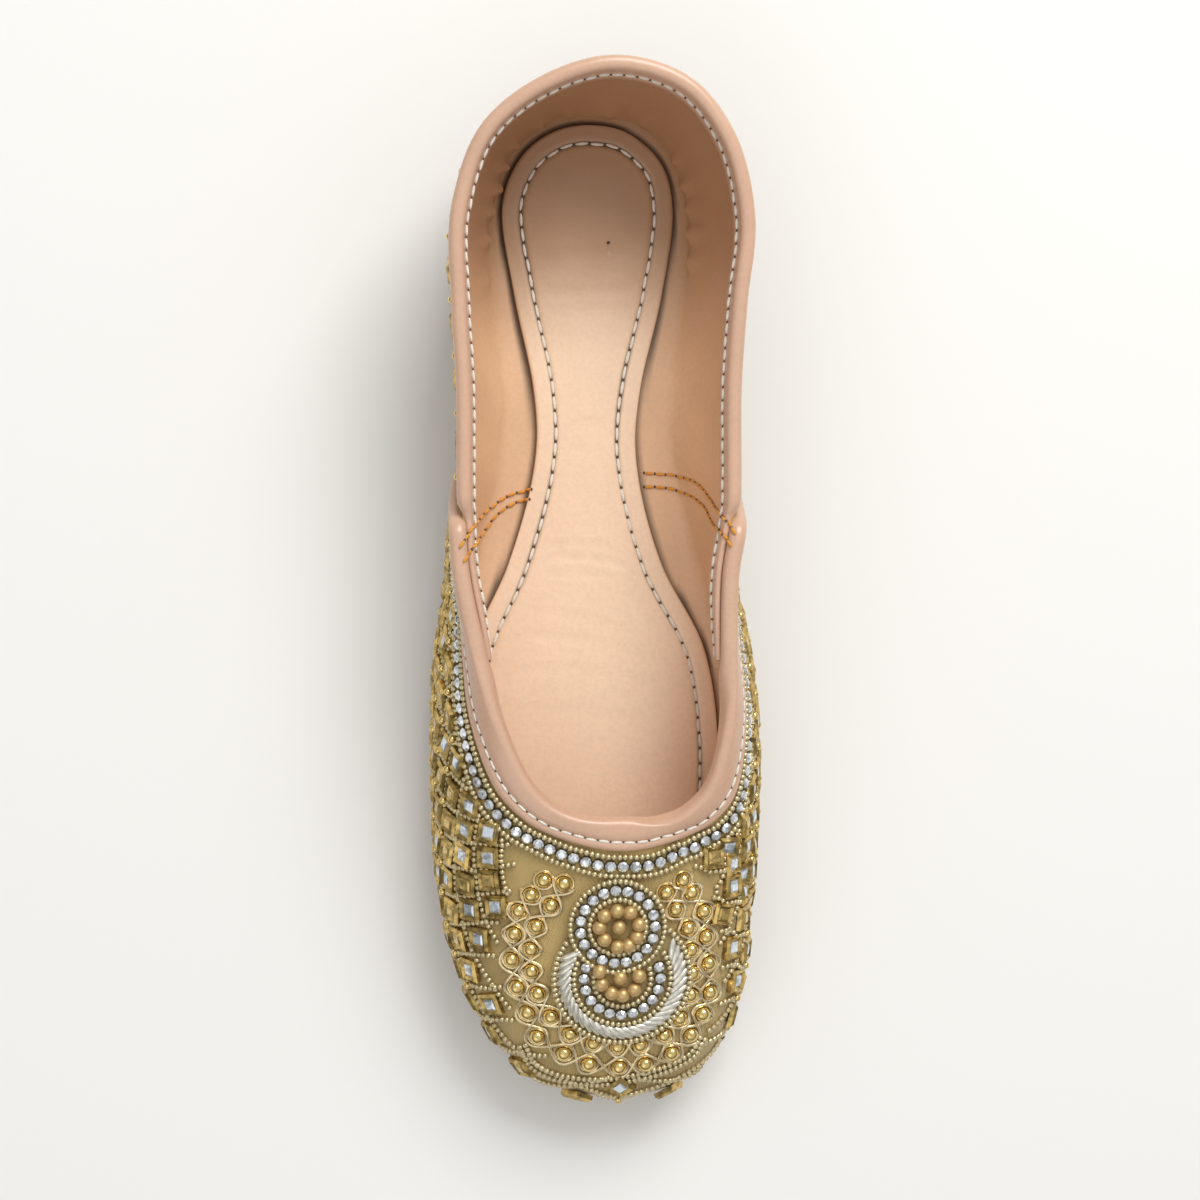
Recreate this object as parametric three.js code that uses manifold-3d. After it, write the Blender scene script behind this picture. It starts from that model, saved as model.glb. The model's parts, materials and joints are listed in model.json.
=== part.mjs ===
// Mojari: a beaded slip-on shoe with a low leather heel, a wide collar and a square throat.
// Millimetres, +Z up, toe towards -Y, the inner side of the foot towards +X, the floor at Z = 0.
import * as THREE from "three";
import Module from "manifold-3d";

const wasm = await Module();
wasm.setup();

// Driving sizes of the last
const LAST_LENGTH = 248; // along Y, the length that the rows' places are shares of
const BALL_HALF_WIDTH = 38.5; // the width that the rows' widths are shares of
const INSTEP_RISE = 36.5; // throat edge above the outsole
const COLLAR_RISE = 49.5; // heel edge above the outsole

// Sole
const SOLE_THICKNESS = 4.5;
const HEEL_LIFT = 5; // height of the heel piece with its seam
const TOE_SPRING = 3.5;
const SOLE_LEDGE = 2.6; // outsole beyond the foot of the wall
const HEEL_LEDGE = 2.2; // heel piece beyond the foot of the wall
const HEEL_BREAST = 0.745; // front of the heel piece, share of the length from the toe
const WAIST_START = 0.73; // the sole leaves the heel's height
const WAIST_END = 0.53; // the sole meets the floor
const SPRING_START = 0.22; // the sole leaves the floor towards the toe

// Upper
const WALL = 2; // each of quarter and vamp
const LAP_BITE = 0.4; // depth by which the vamp is joined into the quarter
const MARGIN_THICKNESS = 1.8; // upper turned in under the insole
const MARGIN_COVER = 4; // insole beyond the margin's inner edge
const MARGIN_BITE = 0.5; // margin run out into the wall
const QUARTER_RAISED = 0.25; // foot of the quarter above the margin's underside
const VAMP_RAISED = 0.45; // foot of the vamp above the margin's underside
const QUARTER_LOWERED = 0.15; // top of the quarter below the vamp's top edge
const QUARTER_END = 8.15; // row at which the quarter's front ends stop inside the vamp
const VAMP_TOP_END = 6.05; // row at which the vamp starts at its top edge
const VAMP_SLANT = 0.55; // rows by which the vamp starts further back at the sole
const VAMP_LEAN = 45; // length over which the vamp's columns turn upright

// Insole
const INSOLE_THICKNESS = 2.3;

// Bindings
const BINDING = 1; // leather of the strip
const COLLAR_FLANGE = 5; // depth of the collar binding on both faces
const THROAT_FLANGE = 5.4; // depth of the throat binding on the outer face
const THROAT_LIP = 3; // depth of the throat binding on the inner face
const LIP_START = 3.2; // lip beyond the quarter's front ends
const ROLL_CROWN = 0.75; // height of the rolled edge as a share of its half width
const CUT_BACK = 0.9; // where a flange is cut back to, as a share of the clearance above the edge

// Medallion
const MEDALLION_PAD = 1.2;
const UPPER_DISC = { x: 3.7, y: -79.4, r: 11.3 };
const LOWER_DISC = { x: 5.1, y: -92.3, r: 16.4 };

const CLEARANCE = 0.3; // between pieces that meet

// Mesh steps
const ROW_STEPS = 3; // between two rows
const LEAST_STEP = 1.6; // along the shoe
const SHORT_EDGE = 0.01; // an edge that is closed up where solids are joined
// Depths of the wall's facets, as shares of the wall from its top edge
const WALL_DEPTHS = [0, 0.025, 0.07, 0.14, 0.23, 0.36, 0.5, 0.62, 0.72, 0.8, 0.87, 0.94, 1];
const ROLL_STEPS = 5; // round the rolled edge of a binding

// One row for each section from heel back to toe tip. Widths are shares of BALL_HALF_WIDTH, lateral then
// medial. Places are shares of LAST_LENGTH from the toe. Rise is 1 at the heel edge and 0 at the throat edge.
// The four handles bend the section's curve: out and up at the foot and down at the top are shares of its
// height, and out at the top is a share of how far the foot lies outside the top.
const ROWS = table(
  "footLat footMed footAt topLat topMed topAt rise footOut footUp topOut topDown sockLat sockMed sockAt",
  [
    [0, 0, 0.988, 0.052, 0.052, 1.004, 1, 0.08, 0.26, 0.9, 0.32, -0.03, -0.03, 0.978], // heel back
    [-0.31, 0.31, 0.98, -0.436, 0.52, 0.981, 0.95, 0.08, 0.26, 0.9, 0.32, -0.3, 0.25, 0.968], // heel round
    [-0.532, 0.488, 0.954, -0.743, 0.727, 0.942, 0.88, 0.08, 0.26, 0.9, 0.33, -0.475, 0.42, 0.945], // heel corner
    [-0.675, 0.61, 0.887, -0.927, 0.878, 0.863, 0.69, 0.12, 0.22, 0.9, 0.36, -0.603, 0.519, 0.891], // heel side
    [-0.636, 0.558, 0.802, -0.922, 0.842, 0.782, 0.52, 0.2, 0.15, 0.9, 0.4, -0.525, 0.447, 0.806], // heel front
    [-0.532, 0.455, 0.71, -0.891, 0.813, 0.702, 0.4, 0.25, 0.1, 0.9, 0.42, -0.397, 0.306, 0.71], // waist
    [-0.571, 0.506, 0.625, -0.883, 0.81, 0.581, 0.33, 0.25, 0.12, 0.9, 0.4, -0.4, 0.301, 0.621], // vamp seam
    [-0.727, 0.675, 0.532, -0.857, 0.753, 0.52, 0.29, 0.22, 0.15, 0.9, 0.35, -0.558, 0.462, 0.532], // lap
    [-0.87, 0.844, 0.44, -0.761, 0.748, 0.448, 0.24, 0.19, 0.18, 0.9, 0.24, -0.787, 0.738, 0.448], // ball back
    [-0.896, 0.9, 0.339, -0.67, 0.764, 0.383, 0.17, 0.19, 0.18, 0.9, 0.14, -0.826, 0.835, 0.347], // ball
    [-0.867, 0.87, 0.246, -0.519, 0.696, 0.325, 0.1, 0.22, 0.18, 0.92, 0.12, -0.8, 0.805, 0.258], // ball front
    [-0.715, 0.745, 0.149, -0.317, 0.545, 0.293, 0.05, 0.31, 0.22, 1, 0.16, -0.65, 0.68, 0.165], // toe side
    [-0.43, 0.575, 0.073, -0.099, 0.369, 0.281, 0.015, 0.5, 0.23, 0.92, 0.23, -0.385, 0.51, 0.093], // toe corner
    [-0.15, 0.4, 0.041, 0.039, 0.247, 0.278, 0.005, 0.68, 0.24, 0.84, 0.25, -0.135, 0.35, 0.062], // toe front
    [0.13, 0.13, 0.035, 0.143, 0.143, 0.278, 0, 0.72, 0.24, 0.82, 0.26, 0.117, 0.117, 0.056], // toe tip
  ],
);
const LAST_ROW = ROWS.length - 1;

function table(heads, rows) {
  const names = heads.split(" ");
  return rows.map((row) => Object.fromEntries(names.map((name, i) => [name, row[i]])));
}

function smooth(edge0, edge1, value) {
  const t = THREE.MathUtils.clamp((value - edge0) / (edge1 - edge0), 0, 1);
  return t * t * (3 - 2 * t);
}

const along = (share) => (share - 0.5) * LAST_LENGTH;

// Height of the outsole's underside at a place along the shoe
function underside(y) {
  const lift = HEEL_LIFT * smooth(along(WAIST_END), along(WAIST_START), y);
  const past = Math.max(0, along(SPRING_START) - y) / (along(SPRING_START) - along(0));
  return lift + TOE_SPRING * past * past;
}

const soleTop = (y) => underside(y) + SOLE_THICKNESS;
const footLevel = (y) => soleTop(y) + CLEARANCE;
const marginTop = (y) => footLevel(y) + MARGIN_THICKNESS;

// The rows as a closed loop: heel back, lateral side, toe tip, medial side
const LOOP = [];
for (let i = 0; i < 2 * LAST_ROW; i++) {
  const row = ROWS[i <= LAST_ROW ? i : 2 * LAST_ROW - i];
  const side = i <= LAST_ROW ? "Lat" : "Med";
  LOOP.push({
    footX: row["foot" + side] * BALL_HALF_WIDTH,
    footY: along(row.footAt),
    topX: row["top" + side] * BALL_HALF_WIDTH,
    topY: along(row.topAt),
    topZ: footLevel(0) + INSTEP_RISE + row.rise * (HEEL_LIFT + COLLAR_RISE - INSTEP_RISE),
    sockX: row["sock" + side] * BALL_HALF_WIDTH,
    sockY: along(row.sockAt),
    footOut: row.footOut,
    footUp: row.footUp,
    topOut: row.topOut,
    topDown: row.topDown,
  });
}

// Distance round the shoe at each row, from the longer chord of foot and top edge
const KNOTS = [0];
LOOP.forEach((a, i) => {
  const b = LOOP[(i + 1) % LOOP.length];
  const foot = Math.hypot(b.footX - a.footX, b.footY - a.footY);
  const top = Math.hypot(b.topX - a.topX, b.topY - a.topY);
  KNOTS.push(KNOTS[i] + Math.max(foot, top));
});
const ROUND = KNOTS[LOOP.length];

// Distance round the shoe at a row number, lateral up to LAST_ROW and medial counted on from there
function distanceAt(row) {
  const i = Math.floor(row);
  return KNOTS[i] + (row - i) * (KNOTS[i + 1] - KNOTS[i]);
}
const medial = (row) => 2 * LAST_ROW - row;

// A column of the loop at a distance round the shoe, by a cubic through the rows
function column(name, distance) {
  const s = ((distance % ROUND) + ROUND) % ROUND;
  let i = 0;
  while (i < LOOP.length - 1 && KNOTS[i + 1] <= s) i++;
  const count = LOOP.length;
  const value = (j) => LOOP[(j + count) % count][name];
  const gap = (j) => {
    const k = (j + count) % count;
    return KNOTS[k + 1] - KNOTS[k];
  };
  const slope = (j) => {
    const before = (value(j) - value(j - 1)) / gap(j - 1);
    const after = (value(j + 1) - value(j)) / gap(j);
    return (before * gap(j) + after * gap(j - 1)) / (gap(j) + gap(j - 1));
  };
  const h = gap(i);
  const t = (s - KNOTS[i]) / h;
  const a = 2 * t ** 3 - 3 * t ** 2 + 1;
  const b = t ** 3 - 2 * t ** 2 + t;
  const c = t ** 3 - t ** 2;
  return a * value(i) + b * h * slope(i) + (1 - a) * value(i + 1) + c * h * slope(i + 1);
}

// A line of the loop (foot, top or sock) moved outwards in plan
function planPoint(line, s, out = 0) {
  const at = (d) => new THREE.Vector2(column(line + "X", d), column(line + "Y", d));
  const run = at(s + 0.5).sub(at(s - 0.5)).normalize();
  return at(s).add(new THREE.Vector2(run.y, -run.x).multiplyScalar(out));
}

// The section of the wall at a distance round the shoe, as points with their length from the foot
const CURVE_STEPS = 24;
const sections = new Map();
function section(s) {
  const key = s.toFixed(4);
  if (sections.has(key)) return sections.get(key);
  const foot = planPoint("foot", s);
  const out = planPoint("foot", s, 1).sub(foot);
  const start = new THREE.Vector3(foot.x, foot.y, footLevel(foot.y));
  const end = new THREE.Vector3(column("topX", s), column("topY", s), column("topZ", s));
  const height = end.z - start.z;
  const spread = Math.max(0, (start.x - end.x) * out.x + (start.y - end.y) * out.y);
  const handle = (base, reach, rise) =>
    base.clone().add(new THREE.Vector3(out.x * reach, out.y * reach, rise * height));
  const curve = new THREE.CubicBezierCurve3(
    start,
    handle(start, column("footOut", s) * height, column("footUp", s)),
    handle(end, column("topOut", s) * spread, -column("topDown", s)),
    end,
  );
  const points = curve.getPoints(CURVE_STEPS);
  const lengths = [0];
  for (let i = 1; i < points.length; i++) lengths.push(lengths[i - 1] + points[i].distanceTo(points[i - 1]));
  const made = { points, lengths, total: lengths[CURVE_STEPS] };
  sections.set(key, made);
  return made;
}

// A point of the section by its length from the foot; past either end it runs straight on
function sectionPoint(s, length) {
  const { points, lengths } = section(s);
  let i = 0;
  while (i < CURVE_STEPS - 1 && lengths[i + 1] <= length) i++;
  const t = (length - lengths[i]) / (lengths[i + 1] - lengths[i]);
  return points[i].clone().lerp(points[i + 1], t);
}

// A point by its depth below the top edge and its distance out of the quarter's outer face, no lower than given
function wallPoint(s, depth, out, raised = 0) {
  const length = section(s).total - depth;
  const at = (ds, dl) => sectionPoint(s + ds, (length / section(s).total) * section(s + ds).total + dl);
  const round = at(0.8, 0).sub(at(-0.8, 0));
  const up = at(0, 0.8).sub(at(0, -0.8));
  const normal = round.cross(up).normalize();
  const p = sectionPoint(s, length).addScaledVector(normal, out);
  p.z = Math.max(p.z, footLevel(p.y) + raised);
  return p;
}

// A closed solid from points and faces, with equal points joined and faces turned outwards
function solid(points, faces) {
  const ids = new Map();
  const xyz = [];
  const id = points.map((p) => {
    const key = [p.x, p.y, p.z].map((v) => Math.round(v * 2000)).join();
    if (!ids.has(key)) {
      ids.set(key, xyz.length / 3);
      xyz.push(p.x, p.y, p.z);
    }
    return ids.get(key);
  });
  const index = [];
  for (const [a, b, c] of faces) {
    const tri = [id[a], id[b], id[c]];
    if (new Set(tri).size === 3) index.push(...tri);
  }
  const corner = (i) => new THREE.Vector3().fromArray(xyz, 3 * index[i]);
  let volume = 0;
  for (let i = 0; i < index.length; i += 3) volume += corner(i).dot(corner(i + 1).cross(corner(i + 2)));
  if (volume < 0) index.reverse();
  const geometry = new THREE.BufferGeometry();
  geometry.setAttribute("position", new THREE.Float32BufferAttribute(xyz, 3));
  geometry.setIndex(index);
  return geometry;
}

// Faces over an outline: by its ear triangles, or by rungs between its first half and its second
function earFaces(outline) {
  const flat = outline.map(([a, b]) => new THREE.Vector2(a, b));
  const faces = THREE.ShapeUtils.triangulateShape(flat, []);
  return THREE.ShapeUtils.isClockWise(flat) ? faces.map(([a, b, c]) => [a, c, b]) : faces;
}

function rungFaces(outline) {
  const faces = [];
  const last = outline.length - 1;
  for (let j = 0; j < (last - 1) / 2; j++) faces.push([j, j + 1, last - j], [j + 1, last - j - 1, last - j]);
  return faces;
}

// A strip swept through rings of one outline each. An open strip gets both ends closed by the given faces.
function sweep(outlines, place, endFaces) {
  const count = outlines[0].length;
  const points = outlines.flatMap((outline, i) => outline.map(([a, b]) => place(i, a, b)));
  const faces = [];
  const last = endFaces ? outlines.length - 1 : outlines.length;
  for (let i = 0; i < last; i++) {
    const next = (i + 1) % outlines.length;
    for (let j = 0; j < count; j++) {
      const [a, b] = [i * count + j, i * count + ((j + 1) % count)];
      const [c, d] = [next * count + j, next * count + ((j + 1) % count)];
      faces.push([a, b, d], [a, d, c]);
    }
  }
  if (endFaces) {
    const from = last * count;
    endFaces(outlines[0]).forEach(([a, b, c]) => faces.push([a, c, b]));
    endFaces(outlines[last]).forEach(([a, b, c]) => faces.push([from + a, from + b, from + c]));
  }
  return solid(points, faces);
}

// A plate between the lateral and medial run of a plan line, from the heel back to a given row
function plate(line, out, lastRow, low, high) {
  const stops = [];
  for (let i = 0; i < lastRow * ROW_STEPS; i++) stops.push(i / ROW_STEPS);
  stops.push(lastRow);
  const rung = (row) => [distanceAt(row), distanceAt(medial(row) === 2 * LAST_ROW ? 0 : medial(row))];
  const points = stops.flatMap((row) =>
    rung(row).flatMap((s) => {
      const p = planPoint(line, s, out);
      return [new THREE.Vector3(p.x, p.y, low(p.y)), new THREE.Vector3(p.x, p.y, high(p.y))];
    }),
  );
  const faces = [];
  const quad = (a, b, c, d) => faces.push([a, b, c], [a, c, d]);
  stops.slice(1).forEach((_, i) => {
    const [a, b] = [4 * i, 4 * i + 4];
    quad(a, b, b + 2, a + 2);
    quad(a + 1, a + 3, b + 3, b + 1);
    quad(a, a + 1, b + 1, b);
    quad(a + 2, b + 2, b + 3, a + 3);
  });
  const z = 4 * (stops.length - 1);
  quad(z, z + 1, z + 3, z + 2);
  return solid(points, faces);
}

// The two ends and the common stops between them, so that neighbours have their facets side by side
const STOPS = Array.from({ length: 2 * LAST_ROW * ROW_STEPS }, (_, i) => distanceAt(i / ROW_STEPS));
function stopsBetween(from, to) {
  const all = [...STOPS.map((s) => s - ROUND), ...STOPS];
  return [from, ...all.filter((s) => s > from + LEAST_STEP && s < to - LEAST_STEP), to];
}

const asManifold = (geometry) =>
  new wasm.Manifold(
    new wasm.Mesh({
      numProp: 3,
      vertProperties: new Float32Array(geometry.getAttribute("position").array),
      triVerts: new Uint32Array(geometry.index.array),
    }),
  );

// The joined mesh, with the ends of very short edges brought together
function asGeometry(manifold) {
  const mesh = manifold.getMesh();
  const points = [];
  for (let i = 0; i < mesh.numVert; i++) {
    points.push(new THREE.Vector3().fromArray(mesh.vertProperties, i * mesh.numProp));
  }
  const parent = points.map((_, i) => i);
  const first = (i) => (parent[i] === i ? i : first(parent[i]));
  const faces = [];
  for (let i = 0; i < mesh.triVerts.length; i += 3) faces.push(Array.from(mesh.triVerts.subarray(i, i + 3)));
  for (const face of faces) {
    face.forEach((a, k) => {
      const b = face[(k + 1) % 3];
      if (points[a].distanceTo(points[b]) < SHORT_EDGE) parent[first(a)] = first(b);
    });
  }
  return solid(points.map((_, i) => points[first(i)]), faces);
}

// Outline of a wall in shares of its height and distance out of the quarter's outer face
function wallOutline(inner, outer) {
  const up = [...WALL_DEPTHS].reverse();
  return [...up.map((share) => [share, outer]), ...WALL_DEPTHS.map((share) => [share, inner])];
}

// The quarter goes round the heel, from its lateral front end to its medial one
function quarter() {
  const stops = stopsBetween(distanceAt(medial(QUARTER_END)) - ROUND, distanceAt(QUARTER_END));
  return sweep(
    stops.map(() => wallOutline(-WALL, 0)),
    (i, share, out) => {
      const depth = Math.max(QUARTER_LOWERED, share * section(stops[i]).total);
      return wallPoint(stops[i], depth, out, QUARTER_RAISED);
    },
    rungFaces,
  );
}

// Where the vamp's rear edge runs at a depth, as a share of the wall: lateral end, then medial end
function vampEnds(share) {
  const row = VAMP_TOP_END - VAMP_SLANT * share;
  return [distanceAt(row), distanceAt(medial(row))];
}

// The vamp's columns stand upright, but lean into its slanted rear edges near the ends
function vamp() {
  const [from, to] = vampEnds(0);
  const stops = stopsBetween(from, to);
  const lean = (gap) => Math.max(0, 1 - gap / VAMP_LEAN);
  return sweep(
    stops.map(() => wallOutline(-LAP_BITE, WALL)),
    (i, share, out) => {
      const [a, b] = vampEnds(share);
      const s = stops[i] + (a - from) * lean(stops[i] - from) + (b - to) * lean(to - stops[i]);
      return wallPoint(s, share * section(s).total, out, VAMP_RAISED);
    },
    rungFaces,
  );
}

// The margin is the foot of the wall, turned in all round under the insole
function margin() {
  const stops = stopsBetween(0, ROUND).slice(0, -1);
  const outline = [
    [1, 0],
    [1, 1],
    [0, 1],
    [0, 0],
  ];
  return sweep(
    stops.map(() => outline),
    (i, side, level) => {
      const p = side ? planPoint("foot", stops[i], MARGIN_BITE) : planPoint("sock", stops[i], -MARGIN_COVER);
      return new THREE.Vector3(p.x, p.y, level ? marginTop(p.y) : footLevel(p.y));
    },
  );
}

function upper() {
  return asGeometry(asManifold(quarter()).add(asManifold(vamp())).add(asManifold(margin())));
}

// Outline of a strip folded over an edge: it lies on faces at wallIn and wallOut, and each flange has its depth
function foldOutline({ wallIn, wallOut, flangeIn, flangeOut }) {
  const low = wallIn - BINDING;
  const high = wallOut + BINDING;
  const middle = (low + high) / 2;
  const radius = (high - low) / 2;
  const crown = [];
  for (let i = 0; i <= ROLL_STEPS; i++) {
    const angle = (Math.PI * i) / ROLL_STEPS;
    crown.push([-CLEARANCE - ROLL_CROWN * radius * Math.sin(angle), middle + radius * Math.cos(angle)]);
  }
  const [halfIn, halfOut] = [(flangeIn - CLEARANCE) / 2, (flangeOut - CLEARANCE) / 2];
  const outside = [[flangeOut, high], [halfOut, high], ...crown, [halfIn, low], [flangeIn, low]];
  const inside = [[flangeIn, wallIn], [halfIn, wallIn], [-CLEARANCE, wallIn]];
  return [...outside, ...inside, [-CLEARANCE, wallOut], [halfOut, wallOut], [flangeOut, wallOut]];
}

// A strip over an edge whose outline changes at given distances. Between two outlines it is first cut back.
function binding(spans, cut) {
  const rings = [];
  spans.forEach(({ from, to, outline }, i) => {
    const start = i ? from + CLEARANCE : from;
    const end = i < spans.length - 1 ? to - CLEARANCE : to;
    if (i) rings.push({ s: from, outline: cut });
    stopsBetween(start, end).forEach((s) => rings.push({ s, outline }));
  });
  return sweep(
    rings.map((ring) => ring.outline),
    (i, depth, out) => wallPoint(rings[i].s, depth, out),
    earFaces,
  );
}

// The collar strip has both flanges behind the vamp, and only the inner one where the vamp laps over it
function collarBinding() {
  const flangeShare = (COLLAR_FLANGE + BINDING) / section(vampEnds(0)[0]).total;
  const [lateral, medialEnd] = vampEnds(flangeShare);
  const joints = [medialEnd - ROUND + 2 * CLEARANCE, lateral - 2 * CLEARANCE];
  const ends = [distanceAt(medial(QUARTER_END)) - ROUND, distanceAt(QUARTER_END)];
  const faces = { wallIn: -WALL - CLEARANCE, wallOut: CLEARANCE, flangeIn: COLLAR_FLANGE };
  const open = foldOutline({ ...faces, flangeOut: COLLAR_FLANGE });
  const cut = foldOutline({ ...faces, flangeOut: -CUT_BACK * CLEARANCE });
  const underVamp = -LAP_BITE - CLEARANCE - BINDING;
  const lapped = foldOutline({ ...faces, wallOut: underVamp, flangeOut: -CUT_BACK * CLEARANCE });
  const spans = [
    { from: ends[0], to: joints[0], outline: lapped },
    { from: joints[0], to: joints[1], outline: open },
    { from: joints[1], to: ends[1], outline: lapped },
  ];
  return binding(spans, cut);
}

// The throat strip has a lip inside the vamp, but not where the quarter lies inside it
function throatBinding() {
  const [from, to] = vampEnds(0);
  const joints = [distanceAt(QUARTER_END) + LIP_START, distanceAt(medial(QUARTER_END)) - LIP_START];
  const faces = { wallIn: -LAP_BITE - CLEARANCE, wallOut: WALL + CLEARANCE, flangeOut: THROAT_FLANGE };
  const lipped = foldOutline({ ...faces, flangeIn: THROAT_LIP });
  const cut = foldOutline({ ...faces, flangeIn: -CUT_BACK * CLEARANCE });
  const lapped = foldOutline({ ...faces, wallIn: -LAP_BITE + BINDING, flangeIn: -CUT_BACK * CLEARANCE });
  const spans = [
    { from, to: joints[0], outline: lapped },
    { from: joints[0], to: joints[1], outline: lipped },
    { from: joints[1], to, outline: lapped },
  ];
  return binding(spans, cut);
}

// The vamp's place that lies over a point in plan
function vampUnder(x, y, out) {
  const toe = distanceAt(LAST_ROW);
  let best = { miss: Infinity };
  for (let s = toe - 110; s <= toe + 110; s += 5) {
    for (let depth = 4; depth < 0.7 * section(s).total; depth += 3) {
      const p = wallPoint(s, depth, WALL);
      const miss = Math.hypot(p.x - x, p.y - y);
      if (miss < best.miss) best = { miss, s, depth };
    }
  }
  let { s, depth } = best;
  for (let i = 0; i < 8; i++) {
    const p = wallPoint(s, depth, WALL);
    const ds = wallPoint(s + 0.5, depth, WALL).sub(p).multiplyScalar(2);
    const dd = wallPoint(s, depth + 0.5, WALL).sub(p).multiplyScalar(2);
    const det = ds.x * dd.y - ds.y * dd.x;
    const [ex, ey] = [x - p.x, y - p.y];
    s += THREE.MathUtils.clamp((ex * dd.y - ey * dd.x) / det, -4, 4);
    depth += THREE.MathUtils.clamp((ds.x * ey - ds.y * ex) / det, -4, 4);
  }
  return wallPoint(s, depth, out);
}

// Distance from a point inside a disc to its rim, along a direction
function rimDistance(disc, x, y, angle) {
  const [dx, dy] = [x - disc.x, y - disc.y];
  const b = dx * Math.cos(angle) + dy * Math.sin(angle);
  const c = dx * dx + dy * dy - disc.r ** 2;
  return b * b - c < 0 ? 0 : -b + Math.sqrt(b * b - c);
}

// The medallion's pad is the outline of two overlapping discs, laid on the vamp
function medallion() {
  const centre = { x: (UPPER_DISC.x + LOWER_DISC.x) / 2, y: (UPPER_DISC.y + LOWER_DISC.y) / 2 };
  const rays = 32;
  const rings = [0.34, 0.67, 1];
  const points = [];
  const faces = [];
  const low = WALL + CLEARANCE;
  [low, low + MEDALLION_PAD].forEach((out) => {
    points.push(vampUnder(centre.x, centre.y, out));
    rings.forEach((ring) => {
      for (let j = 0; j < rays; j++) {
        const angle = (2 * Math.PI * j) / rays;
        const reach = Math.max(
          rimDistance(UPPER_DISC, centre.x, centre.y, angle),
          rimDistance(LOWER_DISC, centre.x, centre.y, angle),
        );
        const r = ring * reach;
        points.push(vampUnder(centre.x + r * Math.cos(angle), centre.y + r * Math.sin(angle), out));
      }
    });
  });
  const side = 1 + rays * rings.length;
  const at = (top, ring, j) => top * side + 1 + ring * rays + (j % rays);
  for (let j = 0; j < rays; j++) {
    faces.push([0, at(0, 0, j + 1), at(0, 0, j)], [side, at(1, 0, j), at(1, 0, j + 1)]);
    for (let ring = 0; ring + 1 < rings.length; ring++) {
      const [a, b, c, d] = [at(0, ring, j), at(0, ring, j + 1), at(0, ring + 1, j + 1), at(0, ring + 1, j)];
      faces.push([a, b, c], [a, c, d]);
      faces.push([a + side, c + side, b + side], [a + side, d + side, c + side]);
    }
    const rim = rings.length - 1;
    const [a, b] = [at(0, rim, j), at(0, rim, j + 1)];
    faces.push([a, b, b + side], [a, b + side, a + side]);
  }
  return solid(points, faces);
}

// The heel piece ends in a straight breast
function heel() {
  let row = 3;
  while (row < 6 && planPoint("foot", distanceAt(row)).y > along(HEEL_BREAST)) row += 0.01;
  return plate("foot", HEEL_LEDGE, row, () => 0, () => HEEL_LIFT - CLEARANCE);
}

const outsole = () => plate("foot", SOLE_LEDGE, LAST_ROW, underside, soleTop);

function insole() {
  const low = (y) => marginTop(y) + CLEARANCE;
  return plate("sock", 0, LAST_ROW, low, (y) => low(y) + INSOLE_THICKNESS);
}

const PIECES = [
  ["outsole", outsole, { color: 0xb98a62, roughness: 0.55 }],
  ["heel", heel, { color: 0x8a5f40, roughness: 0.6 }],
  ["upper", upper, { color: 0xb39a5a, roughness: 0.6 }],
  ["insole", insole, { color: 0xdaaf8c, roughness: 0.55 }],
  ["collar_binding", collarBinding, { color: 0xd2a68c, roughness: 0.45 }],
  ["throat_binding", throatBinding, { color: 0xd2a68c, roughness: 0.45 }],
  ["medallion", medallion, { color: 0xc2b07a, roughness: 0.5, metalness: 0.3 }],
];

const shoe = new THREE.Group();
for (const [name, make, finish] of PIECES) {
  const mesh = new THREE.Mesh(make(), new THREE.MeshStandardMaterial(finish));
  mesh.name = name;
  shoe.add(mesh);
}

export default shoe;
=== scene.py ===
"""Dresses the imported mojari: leather, fabric, stitches and beadwork around the fixed frame.

Shapes are worked out in millimetres and written to the meshes in metres.
"""

import json
import math

import bpy
import numpy as np
from mathutils import Matrix, Vector
from mathutils.bvhtree import BVHTree

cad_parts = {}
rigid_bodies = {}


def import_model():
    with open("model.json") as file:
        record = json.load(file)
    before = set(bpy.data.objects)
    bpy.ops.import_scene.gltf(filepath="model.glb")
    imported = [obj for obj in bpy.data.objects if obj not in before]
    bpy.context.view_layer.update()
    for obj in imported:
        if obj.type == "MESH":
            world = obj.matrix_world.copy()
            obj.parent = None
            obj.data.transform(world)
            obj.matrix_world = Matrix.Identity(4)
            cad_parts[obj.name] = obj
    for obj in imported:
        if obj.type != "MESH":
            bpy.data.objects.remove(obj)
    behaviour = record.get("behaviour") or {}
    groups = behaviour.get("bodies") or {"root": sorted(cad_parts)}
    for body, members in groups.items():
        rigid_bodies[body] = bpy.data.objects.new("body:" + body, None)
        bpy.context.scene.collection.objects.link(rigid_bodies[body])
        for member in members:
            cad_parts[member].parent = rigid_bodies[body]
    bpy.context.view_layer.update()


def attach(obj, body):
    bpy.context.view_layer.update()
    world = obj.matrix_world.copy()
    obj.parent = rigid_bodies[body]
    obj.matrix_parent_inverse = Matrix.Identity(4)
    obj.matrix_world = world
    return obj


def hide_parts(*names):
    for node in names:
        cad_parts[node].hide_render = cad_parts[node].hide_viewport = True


bl_info = {
    "name": "Beaded mojari",
    "version": (1, 0, 0),
    "blender": (4, 5, 0),
    "location": "3D View > Sidebar > Mojari",
    "description": "Adds leather, fabric, stitches and beadwork to the packed mojari",
    "category": "Object",
}

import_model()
BODY = "root"
MM = 0.001

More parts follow.
